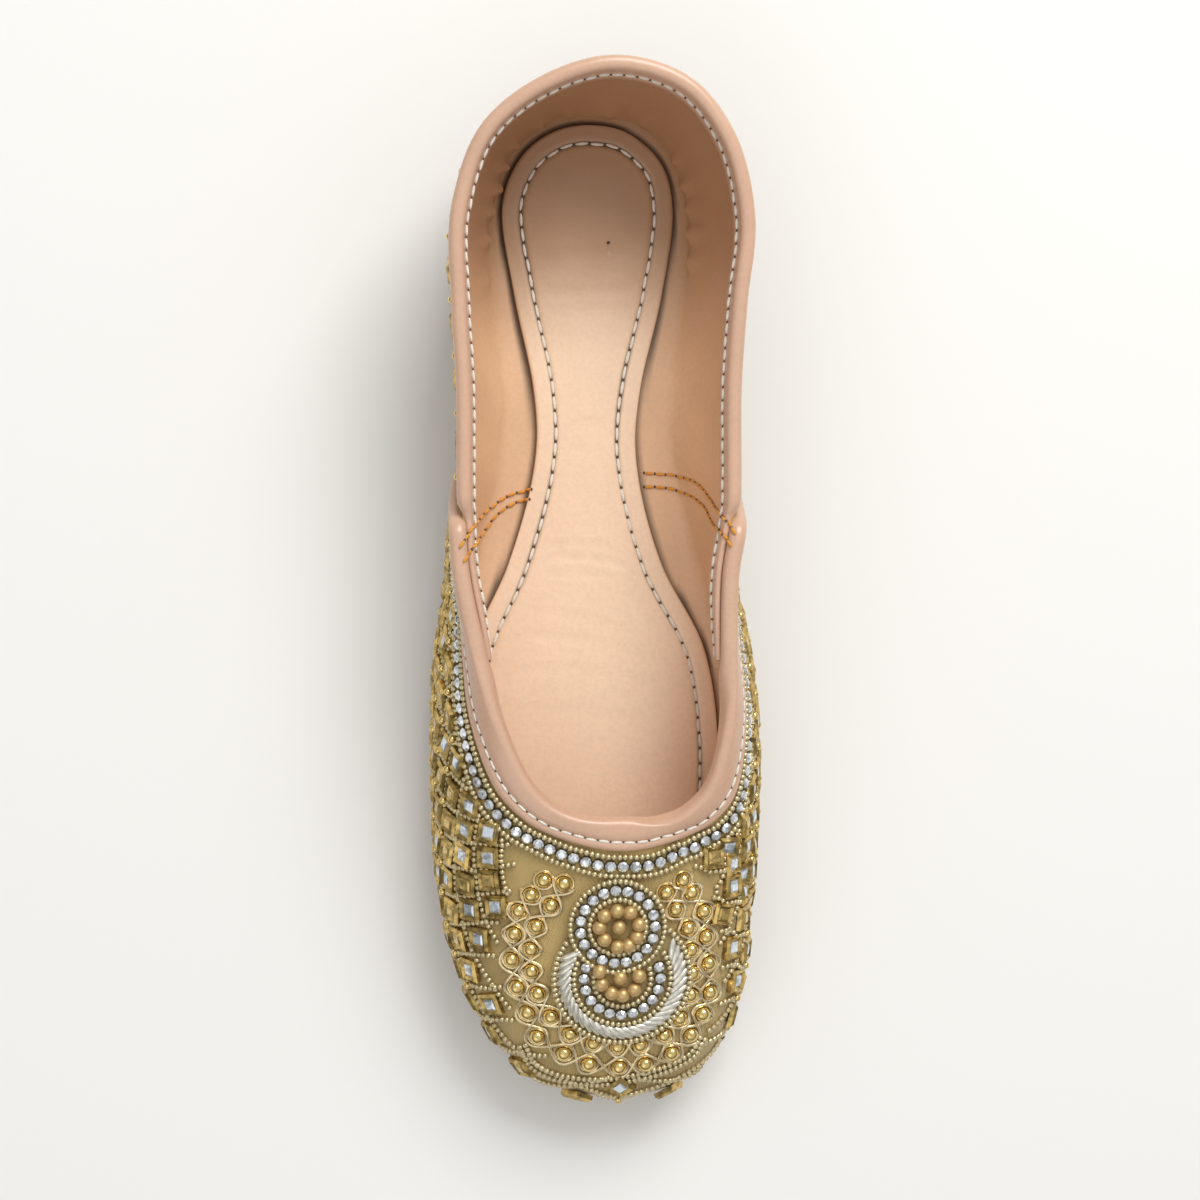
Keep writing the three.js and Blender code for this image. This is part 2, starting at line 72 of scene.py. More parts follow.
# Sizes of the last and the sole, as in the part
LAST_LENGTH = 248.0
BALL_HALF_WIDTH = 38.5
INSTEP_RISE = 36.5
COLLAR_RISE = 49.5
SOLE_THICKNESS = 4.5
HEEL_LIFT = 5.0
TOE_SPRING = 3.5
SOLE_LEDGE = 2.6
HEEL_LEDGE = 2.2
HEEL_BREAST = 0.745
WAIST_START, WAIST_END, SPRING_START = 0.73, 0.53, 0.22
CLEARANCE = 0.3
MARGIN_THICKNESS = 1.8
INSOLE_THICKNESS = 2.3
WALL = 2.0
FABRIC_THICKNESS = 0.9
LINING_THICKNESS = 0.8
LAP_BITE = 0.4
QUARTER_END = 8.15
VAMP_TOP_END, VAMP_SLANT, VAMP_LEAN = 6.05, 0.55, 45.0
CORNER = 6.5  # radius of the vamp's rounded rear corners

PROBE = 0.8  # how far to either side a direction on the wall is measured
SOLE_GAP = 0.1  # least height of the wall over the level of the foot

COLUMN_NAMES = (
    "footLat footMed footAt topLat topMed topAt rise "
    "footOut footUp topOut topDown sockLat sockMed sockAt"
).split()
ROWS = np.array([
    [0, 0, 0.988, 0.052, 0.052, 1.004, 1, 0.08, 0.26, 0.9, 0.32, -0.03, -0.03, 0.978],  # heel back
    [-0.31, 0.31, 0.98, -0.436, 0.52, 0.981, 0.95, 0.08, 0.26, 0.9, 0.32, -0.3, 0.25, 0.968],
    [-0.532, 0.488, 0.954, -0.743, 0.727, 0.942, 0.88, 0.08, 0.26, 0.9, 0.33, -0.475, 0.42, 0.945],
    [-0.675, 0.61, 0.887, -0.927, 0.878, 0.863, 0.69, 0.12, 0.22, 0.9, 0.36, -0.603, 0.519, 0.891],
    [-0.636, 0.558, 0.802, -0.922, 0.842, 0.782, 0.52, 0.2, 0.15, 0.9, 0.4, -0.525, 0.447, 0.806],
    [-0.532, 0.455, 0.71, -0.891, 0.813, 0.702, 0.4, 0.25, 0.1, 0.9, 0.42, -0.397, 0.306, 0.71],  # waist
    [-0.571, 0.506, 0.625, -0.883, 0.81, 0.581, 0.33, 0.25, 0.12, 0.9, 0.4, -0.4, 0.301, 0.621],  # vamp seam
    [-0.727, 0.675, 0.532, -0.857, 0.753, 0.52, 0.29, 0.22, 0.15, 0.9, 0.35, -0.558, 0.462, 0.532],
    [-0.87, 0.844, 0.44, -0.761, 0.748, 0.448, 0.24, 0.19, 0.18, 0.9, 0.24, -0.787, 0.738, 0.448],
    [-0.896, 0.9, 0.339, -0.67, 0.764, 0.383, 0.17, 0.19, 0.18, 0.9, 0.14, -0.826, 0.835, 0.347],  # ball
    [-0.867, 0.87, 0.246, -0.519, 0.696, 0.325, 0.1, 0.22, 0.18, 0.92, 0.12, -0.8, 0.805, 0.258],
    [-0.715, 0.745, 0.149, -0.317, 0.545, 0.293, 0.05, 0.31, 0.22, 1, 0.16, -0.65, 0.68, 0.165],
    [-0.43, 0.575, 0.073, -0.099, 0.369, 0.281, 0.015, 0.5, 0.23, 0.92, 0.23, -0.385, 0.51, 0.093],
    [-0.15, 0.4, 0.041, 0.039, 0.247, 0.278, 0.005, 0.68, 0.24, 0.84, 0.25, -0.135, 0.35, 0.062],
    [0.13, 0.13, 0.035, 0.143, 0.143, 0.278, 0, 0.72, 0.24, 0.82, 0.26, 0.117, 0.117, 0.056],  # toe tip
])
LAST_ROW = len(ROWS) - 1


def smooth(edge0, edge1, value):
    """0 up to the first edge and 1 past the second, with a smooth change between."""
    t = np.clip((value - edge0) / (edge1 - edge0), 0, 1)
    return t * t * (3 - 2 * t)


def along(share):
    """Place along the shoe from a share of the last's length, toe to heel."""
    return (share - 0.5) * LAST_LENGTH


def underside(y):
    """Height of the outsole's underside at a place along the shoe."""
    lift = HEEL_LIFT * smooth(along(WAIST_END), along(WAIST_START), y)
    past = np.maximum(0, along(SPRING_START) - y) / (along(SPRING_START) - along(0))
    return lift + TOE_SPRING * past**2


def sole_top(y):
    return underside(y) + SOLE_THICKNESS


def foot_level(y):
    return sole_top(y) + CLEARANCE


def margin_top(y):
    return foot_level(y) + MARGIN_THICKNESS


# The rows as a closed loop: heel back, lateral side, toe tip, medial side
ORDER = list(range(LAST_ROW + 1)) + list(range(LAST_ROW - 1, 0, -1))
LATERAL = np.arange(len(ORDER)) <= LAST_ROW
RAW = {name: ROWS[ORDER, i] for i, name in enumerate(COLUMN_NAMES)}
LOOP = {}
for line in ("foot", "top", "sock"):
    LOOP[line + "X"] = np.where(LATERAL, RAW[line + "Lat"], RAW[line + "Med"]) * BALL_HALF_WIDTH
    LOOP[line + "Y"] = along(RAW[line + "At"])
LOOP["topZ"] = foot_level(0) + INSTEP_RISE + RAW["rise"] * (HEEL_LIFT + COLLAR_RISE - INSTEP_RISE)
for name in ("footOut", "footUp", "topOut", "topDown"):
    LOOP[name] = RAW[name]


def chords(line):
    """Straight distances between neighbouring rows on a line of the loop."""
    x, y = LOOP[line + "X"], LOOP[line + "Y"]
    return np.hypot(np.roll(x, -1) - x, np.roll(y, -1) - y)


# Distance round the shoe at each row, from the longer chord of foot and top edge
GAPS = np.maximum(chords("foot"), chords("top"))
KNOTS = np.concatenate([[0], np.cumsum(GAPS)])
ROUND = KNOTS[-1]


def loop_slopes(values):
    """Slope of a column at each row, weighted by the gaps on both sides."""
    after = (np.roll(values, -1) - values) / GAPS
    before, gap = np.roll(after, 1), np.roll(GAPS, 1)
    return (before * GAPS + after * gap) / (GAPS + gap)


SLOPES = {name: loop_slopes(values) for name, values in LOOP.items()}


def distance_at(row):
    """Distance round the shoe at a row number: lateral up to LAST_ROW, medial counted on from there."""
    return np.interp(row, np.arange(len(KNOTS)), KNOTS)


def medial(row):
    return 2 * LAST_ROW - row


def column(name, s):
    """A column's smooth value at a distance round the shoe."""
    s = np.mod(s, ROUND)
    i = np.clip(np.searchsorted(KNOTS, s, side="right") - 1, 0, len(GAPS) - 1)
    j = (i + 1) % len(GAPS)
    h = GAPS[i]
    t = (s - KNOTS[i]) / h
    a, b, c = 2 * t**3 - 3 * t**2 + 1, t**3 - 2 * t**2 + t, t**3 - t**2
    values, slopes = LOOP[name], SLOPES[name]
    return a * values[i] + b * h * slopes[i] + (1 - a) * values[j] + c * h * slopes[j]


def unit(v):
    return v / np.maximum(np.linalg.norm(v, axis=-1, keepdims=True), 1e-12)


def plan_point(line, s, out=0.0):
    """A line of the loop (foot, top or sock) moved outwards in plan."""
    at = lambda d: np.stack([column(line + "X", d), column(line + "Y", d)], -1)
    run = unit(at(s + 0.5) - at(s - 0.5))
    return at(s) + np.stack([run[..., 1], -run[..., 0]], -1) * np.asarray(out)[..., None]


CURVE_T = np.linspace(0, 1, 25)


def bezier(handles, t):
    t = t[..., None]
    p0, p1, p2, p3 = (handles[..., k, :] for k in range(4))
    return (1 - t) ** 3 * p0 + 3 * (1 - t) ** 2 * t * p1 + 3 * (1 - t) * t**2 * p2 + t**3 * p3


def section(s):
    """The wall's section at each distance round the shoe: curve handles, and lengths from the foot."""
    foot = plan_point("foot", s)
    out = plan_point("foot", s, 1.0) - foot
    start = np.concatenate([foot, foot_level(foot[..., 1:2])], -1)
    end = np.stack([column("topX", s), column("topY", s), column("topZ", s)], -1)
    height = (end - start)[..., 2]
    spread = np.maximum(0, ((start - end)[..., :2] * out).sum(-1))
    shift = lambda reach, rise: np.concatenate([out * reach[..., None], rise[..., None]], -1)
    second = start + shift(column("footOut", s) * height, column("footUp", s) * height)
    third = end + shift(column("topOut", s) * spread, -column("topDown", s) * height)
    handles = np.stack([start, second, third, end], -2)
    points = bezier(handles[..., None, :, :], np.broadcast_to(CURVE_T, s.shape + CURVE_T.shape))
    steps = np.linalg.norm(np.diff(points, axis=-2), axis=-1)
    lengths = np.concatenate([np.zeros(s.shape + (1,)), np.cumsum(steps, -1)], -1)
    return handles, lengths


def wall_height(s):
    return section(np.asarray(s, float))[1][..., -1]


def section_point(s, share):
    """A point of the section by its share of the length from the foot."""
    handles, lengths = section(s)
    length = share * lengths[..., -1]
    i = np.clip((lengths[..., 1:-1] <= length[..., None]).sum(-1), 0, len(CURVE_T) - 2)
    low = np.take_along_axis(lengths, i[..., None], -1)[..., 0]
    high = np.take_along_axis(lengths, i[..., None] + 1, -1)[..., 0]
    t = (i + (length - low) / (high - low)) / (len(CURVE_T) - 1)
    return bezier(handles, t)


def wall_frame(s, depth):
    """Points of the quarter's outer face, with the directions round the shoe, up and out."""
    s, depth = np.broadcast_arrays(np.asarray(s, float), np.asarray(depth, float))
    total = wall_height(s)
    share = 1 - depth / total
    round_way = unit(section_point(s + PROBE, share) - section_point(s - PROBE, share))
    step = PROBE / total
    up_way = unit(section_point(s, share + step) - section_point(s, share - step))
    return section_point(s, share), round_way, up_way, unit(np.cross(round_way, up_way))


def wall_point(s, depth, out=0.0):
    """Points by depth below the top edge and distance out of the quarter's outer face."""
    point, _, _, normal = wall_frame(s, depth)
    point = point + normal * np.asarray(out, float)[..., None]
    point[..., 2] = np.maximum(point[..., 2], foot_level(point[..., 1]) + SOLE_GAP)
    return point


def vamp_ends(share):
    """Where the vamp's rear edge runs: lateral end, then medial end."""
    row = VAMP_TOP_END - VAMP_SLANT * share
    return distance_at(row), distance_at(medial(row))


# Meshes ---------------------------------------------------------------------------------------------


def grid_faces(rows, cols, wrap=False):
    """Quads of a grid of points, row by row; wrap joins the last column to the first."""
    last = cols if wrap else cols - 1
    i, j = np.meshgrid(np.arange(rows - 1), np.arange(last), indexing="ij")
    k = (j + 1) % cols
    return np.stack([i * cols + j, i * cols + k, (i + 1) * cols + k, (i + 1) * cols + j], -1).reshape(-1, 4)


def slab(front, back):
    """Points and faces of a closed sheet between two grids of points."""
    rows, cols = front.shape[:2]
    count = rows * cols
    faces = grid_faces(rows, cols)
    rim = [i * cols for i in range(rows)] + [(rows - 1) * cols + j for j in range(1, cols)]
    rim += [i * cols + cols - 1 for i in range(rows - 2, -1, -1)] + list(range(cols - 2, 0, -1))
    rim = np.array(rim)
    after = np.roll(rim, -1)
    side = np.stack([rim, after, after + count, rim + count], -1)
    points = np.concatenate([front.reshape(-1, 3), back.reshape(-1, 3)])
    return points, np.concatenate([faces, faces[:, ::-1] + count, side])


def tube(rings):
    """Points and faces of a closed strip swept through rings of points, with both ends closed."""
    rows, cols = rings.shape[:2]
    faces = [tuple(f) for f in grid_faces(rows, cols, wrap=True)]
    faces.append(tuple(range(cols))[::-1])
    faces.append(tuple((rows - 1) * cols + j for j in range(cols)))
    return rings.reshape(-1, 3), faces


def gather_parts(parts):
    """Several (points, faces) as one."""
    points, faces, start = [], [], 0
    for p, f in parts:
        points.append(p)
        faces += [tuple(int(v) + start for v in face) for face in f]
        start += len(p)
    return np.concatenate(points), faces


def make_object(name, points, faces, uv=None):
    """A mesh object in place, from points in millimetres."""
    mesh = bpy.data.meshes.new(name)
    mesh.from_pydata((np.asarray(points) * MM).tolist(), [], [tuple(map(int, f)) for f in faces])
    mesh.validate()
    if uv is not None:
        layer = mesh.uv_layers.new(name="along")
        corner = np.empty(len(mesh.loops), np.int32)
        mesh.loops.foreach_get("vertex_index", corner)
        layer.data.foreach_set("uv", (np.asarray(uv)[corner] * MM).astype(np.float32).ravel())
    made = bpy.data.objects.new(name, mesh)
    bpy.context.scene.collection.objects.link(made)
    return made


def vertex_places(made):
    """A piece's vertices in millimetres."""
    places = np.empty(len(made.data.vertices) * 3)
    made.data.vertices.foreach_get("co", places)
    return places.reshape(-1, 3) / MM


def mark_gap_shade(made, amounts):
    """Writes how much painted gap shade each vertex takes."""
    dye = made.data.attributes.new("dye", "FLOAT", "POINT")
    dye.data.foreach_set("value", amounts.astype(np.float32))


def select_only(made):
    bpy.ops.object.select_all(action="DESELECT")
    made.select_set(True)
    bpy.context.view_layer.objects.active = made


def turn_outwards(made):
    """Merges doubles, then points the faces outwards."""
    select_only(made)
    bpy.ops.object.mode_set(mode="EDIT")
    bpy.ops.mesh.select_all(action="SELECT")
    bpy.ops.mesh.remove_doubles(threshold=1e-6)
    bpy.ops.mesh.normals_make_consistent(inside=False)
    bpy.ops.object.mode_set(mode="OBJECT")


def settle(made, material, nodes=(), angle=40, turn=True):
    """Gives a finished piece its shading, finish and body, and hides the parts it stands for."""
    if turn:
        turn_outwards(made)
    select_only(made)
    bpy.ops.object.shade_smooth_by_angle(angle=math.radians(angle))
    made.data.materials.clear()
    made.data.materials.append(material)
    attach(made, BODY)
    if nodes:
        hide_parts(*nodes)
    return made


# Finishes -------------------------------------------------------------------------------------------


class Value:
    """A node's output. Its arithmetic adds Math nodes to the finish."""

    def __init__(self, finish, socket):
        self.finish, self.socket = finish, socket

    def _math(self, operation, first, second):
        return self.finish.add("ShaderNodeMath", {"operation": operation}, {0: first, 1: second})

    def __add__(self, other):
        return self._math("ADD", self, other)

    def __sub__(self, other):
        return self._math("SUBTRACT", self, other)

    def __rsub__(self, other):
        return self._math("SUBTRACT", other, self)

    def __mul__(self, other):
        return self._math("MULTIPLY", self, other)

    __radd__, __rmul__ = __add__, __mul__


class Finish:
    """A procedural material built from Python expressions."""

    def __init__(self, name, **fixed):
        self.material = bpy.data.materials.new(name)
        self.material.use_nodes = True
        self.tree = self.material.node_tree
        self.tree.nodes.clear()
        self.shader = self.tree.nodes.new("ShaderNodeBsdfPrincipled")
        output = self.tree.nodes.new("ShaderNodeOutputMaterial")
        self.tree.links.new(self.shader.outputs[0], output.inputs[0])
        for socket, value in fixed.items():
            self.shader.inputs[socket.replace("_", " ")].default_value = value

    def put(self, socket, value):
        """Links a node's output to a socket, or sets the socket."""
        if isinstance(value, Value):
            self.tree.links.new(value.socket, socket)
        elif getattr(socket, "type", "") == "RGBA" and len(value) == 3:
            socket.default_value = (*value, 1)
        else:
            socket.default_value = value

    def add(self, kind, settings=None, inputs=None, output=0):
        """A node of a type, with its settings and then its sockets' values or links."""
        node = self.tree.nodes.new(kind)
        for key, value in (settings or {}).items():
            if key == "stops":
                for i, (place, shade) in enumerate(value):
                    stop = node.color_ramp.elements[i] if i < 2 else node.color_ramp.elements.new(place)
                    stop.position, stop.color = place, (shade, shade, shade, 1)
            else:
                setattr(node, key, value)
        for key, value in (inputs or {}).items():
            self.put(node.inputs[key], value)
        return Value(self, node.outputs[output])

    def place(self, uv=False):
        return self.add("ShaderNodeTexCoord", output="UV" if uv else "Object")

    def noise(self, where, scale, detail=3.0, rough=0.5):
        inputs = {"Vector": where, "Scale": scale, "Detail": detail, "Roughness": rough}
        return self.add("ShaderNodeTexNoise", None, inputs)

    def ramp(self, value, *stops):
        return self.add("ShaderNodeValToRGB", {"stops": stops}, {0: value})

    def blend(self, factor, first, second):
        return self.add("ShaderNodeMixRGB", {"blend_type": "MIX"}, {0: factor, 1: first, 2: second})

    def mottle(self, value, low, high, colour, dark):
        """A colour that a pattern darkens below its low and leaves plain above its high."""
        return self.blend(self.ramp(value, (low, 0.0), (high, 1.0)), shade(colour, dark), colour)

    def set(self, socket, value):
        self.put(self.shader.inputs[socket], value)

    def bump(self, height, distance, strength=1.0):
        inputs = {"Height": height, "Distance": distance, "Strength": strength}
        self.set("Normal", self.add("ShaderNodeBump", None, inputs))


def linear(colour):
    """A display colour of 0 to 255 as linear light."""
    values = (c / 255 for c in colour)
    return tuple(c / 12.92 if c <= 0.04045 else ((c + 0.055) / 1.055) ** 2.4 for c in values)


def tinted(colour, *factors):
    """A colour with each channel scaled by its own factor."""
    return tuple(c * factor for c, factor in zip(colour, factors))


def shade(colour, factor):
    return tuple(min(1, c * factor) for c in colour)


HEEL_SHADE_FROM, HEEL_SHADE_TO = 0.066, 0.104  # metres along the shoe over which painted shade darkens the heel seat


def leather(name, colour, roughness, grain=0.00012, crease=0.0002, dark=0.78, gap_shaded=False,
            gloss=0.12, seat=0.0):
    """Clouded leather with pores and wrinkles; where asked, painted shade at the edges by the insole's gap
    and painted shade darkening the heel seat.
    """
    finish = Finish(name, Specular_IOR_Level=0.5, Coat_Weight=gloss, Coat_Roughness=0.22)
    where = finish.place()
    cloud = finish.noise(where, 38.0, 4.0)
    fine = finish.noise(where, 900.0, 2.0)
    cells = {"Vector": where, "Scale": 950.0}
    pores = finish.add("ShaderNodeTexVoronoi", {"feature": "DISTANCE_TO_EDGE"}, cells)
    stretched = finish.add("ShaderNodeMapping", None, {0: where, "Scale": (1.0, 3.2, 1.6)})
    wrinkle = finish.noise(stretched, 120.0, 5.0, 0.62)
    base = finish.mottle(cloud, 0.3, 0.72, colour, dark)
    base = finish.blend(finish.ramp(fine, (0.35, 0.14), (0.6, 0.0)), base, shade(colour, 0.62))
    # Painted shade: seat sets how far the heel seat darkens to a warm brown, for the shade that the heel's
    # wall casts there
    if seat:
        along_shoe = finish.add("ShaderNodeSeparateXYZ", None, {0: where}, output=1)
        span = {0: along_shoe + cloud * 0.02, 1: HEEL_SHADE_FROM, 2: HEEL_SHADE_TO, 3: 0.0, 4: seat}
        heel = finish.add("ShaderNodeMapRange", {"interpolation_type": "SMOOTHSTEP"}, span)
        base = finish.blend(heel, base, tinted(colour, 0.42, 0.3, 0.2))
    # Painted shade: the marked vertices darken almost to black, for the dark gap between insole and lining
    if gap_shaded:
        edge = finish.add("ShaderNodeAttribute", {"attribute_name": "dye"}, output=2)
        base = finish.blend(edge * 0.85, base, shade(colour, 0.12))
    finish.set("Base Color", base)
    finish.set("Roughness", cloud * 0.16 + (roughness - 0.08))
    height = pores * (grain * 900) + fine * (grain * 1200) + wrinkle * (crease * 1600)
    finish.bump(height, 0.00045, 0.5)
    return finish.material


def stitched_fabric(name, colour):
    """Gold fabric with a fine weave that follows the wall."""
    finish = Finish(name, Specular_IOR_Level=0.4, Sheen_Weight=0.35)
    where = finish.place(uv=True)
    waves = {"Vector": where, "Scale": 900.0, "Distortion": 1.0}
    rows, columns = (finish.add("ShaderNodeTexWave", {"bands_direction": way}, waves) for way in "XY")
    weave = rows * columns
    cloud = finish.noise(where, 90.0, 4.0)
    base = finish.mottle(cloud, 0.3, 0.7, colour, 0.66)
    finish.set("Base Color", finish.blend(weave * 0.45, base, shade(colour, 1.5)))
    finish.set("Metallic", weave * 0.35 + 0.2)
    finish.set("Roughness", cloud * 0.2 + 0.42)
    finish.bump(weave + cloud * 0.5, 0.00025, 0.6)
    return finish.material


def metal(name, colour, roughness, dark=0.6, scale=700.0, metallic=1.0):
    """Metal with patches of tarnish."""
    finish = Finish(name, Metallic=metallic)
    tarnish = finish.noise(finish.place(), scale, 2.0)
    finish.set("Base Color", finish.mottle(tarnish, 0.35, 0.65, colour, dark))
    finish.set("Roughness", tarnish * 0.2 + (roughness - 0.1))
    return finish.material


def thread(name, colour):
    """Twisted thread."""
    finish = Finish(name, Sheen_Weight=0.2)
    waves = {"Vector": finish.place(), "Scale": 1100.0}
    twist = finish.add("ShaderNodeTexWave", {"bands_direction": "DIAGONAL"}, waves)
    finish.set("Base Color", finish.blend(twist * 0.5, colour, shade(colour, 0.72)))
    finish.set("Roughness", twist * 0.1 + 0.55)
    finish.bump(twist, 0.00015, 0.5)
    return finish.material


def gem(name, colour, roughness):
    """Clear stone or mirror, with facets that catch the light unevenly."""
    finish = Finish(name, Metallic=0.62, IOR=1.6, Coat_Weight=0.6, Coat_Roughness=0.03)
    cells = {"Vector": finish.place(), "Scale": 900.0}
    facets = finish.add("ShaderNodeTexVoronoi", {"feature": "F1"}, cells, output=1)
    tone = finish.add("ShaderNodeRGBToBW", None, {0: facets})
    finish.set("Base Color", finish.mottle(tone, 0.2, 0.6, colour, 0.5))
    finish.set("Roughness", tone * 0.1 + roughness)
    return finish.material


# Leather pieces -------------------------------------------------------------------------------------


def ripple(s, depth, amount):
    """Slight unevenness of a hand-lasted wall."""
    return amount * (np.sin(s * 0.11 + depth * 0.07) + 0.6 * np.sin(s * 0.23 - depth * 0.13 + 1.7))


def quarter_grid(last_row, step, shares, top_depth, foot_gap, out):
    """Places and points of the quarter, from one front end round the heel to the other."""
    s = np.arange(distance_at(medial(last_row)) - ROUND, distance_at(last_row) + step / 2, step)
    total = wall_height(s)
    depth = top_depth + shares[:, None] * (total - foot_gap - top_depth)[None, :]
    grid_s = np.broadcast_to(s, depth.shape)
    return grid_s, depth, wall_point(grid_s, depth, np.broadcast_to(out, depth.shape))


def vamp_grid(step, shares, top_depth, foot_gap, out):
    """Places and points of the vamp, with its leaning rear edges and rounded corners."""
    start, end = vamp_ends(0.0)
    s = np.linspace(start, end, int((end - start) / step))
    share = np.broadcast_to(shares[:, None], (len(shares), len(s)))
    low, high = vamp_ends(share)
    lean = lambda gap: np.maximum(0, 1 - gap / VAMP_LEAN)
    grid_s = s + (low - start) * lean(s - start) + (high - end) * lean(end - s)
    gap = np.minimum(s - start, end - s)
    short = np.clip(CORNER - gap, 0, CORNER)
    drop = CORNER - np.sqrt(np.maximum(0, CORNER**2 - short**2))
    top = top_depth + drop[None, :]
    depth = top + share * (wall_height(grid_s) - foot_gap - top)
    return grid_s, depth, wall_point(grid_s, depth, np.broadcast_to(out, depth.shape))


def sheet_piece(name, patches):
    """One piece of closed sheets, each given by two grids of points with the places on the wall."""
    parts, uv = [], []
    for s, depth, front, back in patches:
        parts.append(slab(front, back))
        uv += [np.stack([s.ravel(), depth.ravel()], -1)] * 2
    points, faces = gather_parts(parts)
    return make_object(name, points, faces, np.concatenate(uv))


def upper_cover(material):
    """The fabric of the quarter and of the vamp that laps over it."""
    quarter = lambda out: quarter_grid(6.5, 1.6, np.linspace(0, 1, 40), 0.5, 0.3, out)
    vamp = lambda out: vamp_grid(1.5, np.linspace(0, 1, 56), 0.3, 0.5, out)
    patches = [(*make(out), make(out - FABRIC_THICKNESS)[2]) for make, out in ((quarter, 0.0), (vamp, WALL))]
    return settle(sheet_piece("upper_cover", patches), material, ["upper"], turn=False)


# Pleats of the lining: distance round the shoe from the heel's back, and size
PLEATS = [(-64, 1.0), (-57, 1.5), (-50.5, 1.2), (-44, 1.5), (-36, 0.9), (-20, 0.6), (-6, 0.7), (9, 0.6),
          (22, 0.8), (33, 1.1), (41, 1.6), (48, 1.9), (54.5, 1.5), (62, 1.2), (72, 0.7)]


EDGE_ROWS = 9  # rows of the lining's turned foot
LINING_FOOT = 4.5  # height over the foot at which the lining starts to turn in


def turned_edge(s, inset, lift):
    """The foot of the lining, from the wall round a soft fillet to under the insole."""
    total = wall_height(s)
    wall = wall_point(s, total - LINING_FOOT, inset)
    below = wall_point(s, total - 1.0, inset)
    corner = np.stack([below[..., 0], below[..., 1], margin_top(below[..., 1]) + lift], -1)
    sock = plan_point("sock", s, -2.5)
    seat = np.concatenate([sock, margin_top(sock[..., 1:2]) + lift], -1)
    t = np.linspace(0, 1, EDGE_ROWS)[:, None, None]
    return (1 - t) ** 2 * wall + 2 * t * (1 - t) * corner + t**2 * seat


def gathers(s, depth):
    """Pleats of the lining round the heel seat, as distances inwards."""
    total = wall_height(s)
    height = total - depth
    way = np.mod(s + ROUND / 2, ROUND) - ROUND / 2
    push = np.zeros_like(depth)
    for place, size in PLEATS:
        push += 1.35 * size * np.exp(-(((way - place - 0.1 * height) / 1.9) ** 2))
    return push * np.exp(-((np.maximum(0, height - 2) / 8.0) ** 2))


def lining(material):
    """The lining of quarter and vamp, gathered round the heel and turned in under the insole."""
    shares = np.linspace(0, 1, 46)
    quarter = lambda out: quarter_grid(QUARTER_END, 1.1, shares, 0.5, LINING_FOOT, out)
    vamp = lambda out: vamp_grid(1.5, shares, 0.8, LINING_FOOT, out)
    patches = []
    for make, inset, pleated in ((quarter, -WALL, True), (vamp, -LAP_BITE, False)):
        s, depth, _ = make(inset)
        push = ripple(s, depth, 0.12)
        if pleated:
            push = gathers(s, depth) + push
        inner = wall_point(s, depth, inset - push)
        outer = wall_point(s, depth, inset + LINING_THICKNESS)
        front = np.concatenate([inner[:-1], turned_edge(s[-1], inset, 0.12)])
        back = np.concatenate([outer[:-1], turned_edge(s[-1], inset + LINING_THICKNESS, -0.7)])
        grid_s = np.concatenate([s[:-1], np.broadcast_to(s[-1], (EDGE_ROWS, s.shape[1]))])
        deep = np.concatenate([depth[:-1], depth[-1] + np.arange(EDGE_ROWS)[:, None] * 1.2])
        patches.append((grid_s, deep, front, back))
    made = sheet_piece("lining", patches)
    mark_gap(made)
    return settle(made, material, ["upper"], turn=False)


THROAT_TROUGH = 3.6  # depth of the stitched trough on the throat strip
COLLAR_TROUGH = 1.7  # and inside the collar strip


def rolled_top(low, high, crown):
    """The round top of a strip's outline as (depth, out) pairs, from its outer side to its inner side."""
    middle, radius = (low + high) / 2, (high - low) / 2
    arc = np.linspace(0, np.pi, 17)
    return np.stack([-CLEARANCE - crown * radius * np.sin(arc), middle + radius * np.cos(arc)], -1)


def throat_profile(low, high, inner, outer):
    """The throat strip's outline: over the edge, with a stitched trough in its outer flange."""
    outside = [(outer, high - 0.55), (outer - 0.25, high - 0.28), (outer - 1.0, high - 0.12),
               (THROAT_TROUGH + 0.55, high - 0.15), (THROAT_TROUGH, high - 0.5),
               (THROAT_TROUGH - 0.6, high - 0.12), (outer / 3, high)]
    inside = [(max(inner / 3, 0.1), low), (inner - 0.3, low + 0.25), (inner, low + 0.55)]
    floor = [(inner, low + 0.95), (-0.2, low + 0.98), (-0.2, high - 0.98), (outer, high - 0.95)]
    return np.array([*outside, *rolled_top(low, high, 0.8), *inside, *floor])


def collar_profile(high, outer):
    """The collar strip's outline: a roll, the stitched trough inside it and the facing below."""
    low = -2.45
    outside = [(outer, high - 0.6), (outer - 0.25, high - 0.3), (outer * 0.7, high - 0.1), (outer / 3, high)]
    inside = [(0.7, low - 0.12), (1.35, low - 0.32), (1.9, low - 0.42), (2.5, low - 0.75), (3.4, low - 0.9),
              (5.2, low - 0.75), (6.7, low - 0.5), (7.1, low - 0.25), (7.15, low + 0.1)]
    floor = [(7.0, low + 0.38), (-0.2, low + 0.4), (-0.2, high - 0.98), (outer, high - 0.95)]
    return np.array([*outside, *rolled_top(low, high, 0.85), *inside, *floor])


def softened(rings, times=3):
    """Rings averaged with their neighbours, to take out small jogs."""
    for _ in range(times):
        rings[1:-1] = (rings[:-2] + 2 * rings[1:-1] + rings[2:]) / 4
    return rings


LAP_DROP = 1.1  # how much deeper the collar strip lies under the vamp's lap


def under_vamp(s):
    """How far the collar has gone under the vamp's lap, by distance round the shoe from the heel's back."""
    lateral, medial_end = vamp_ends(0.0)
    medial_end -= ROUND
    return np.maximum(smooth(medial_end + 4, medial_end - 2, s), smooth(lateral - 4, lateral + 2, s))


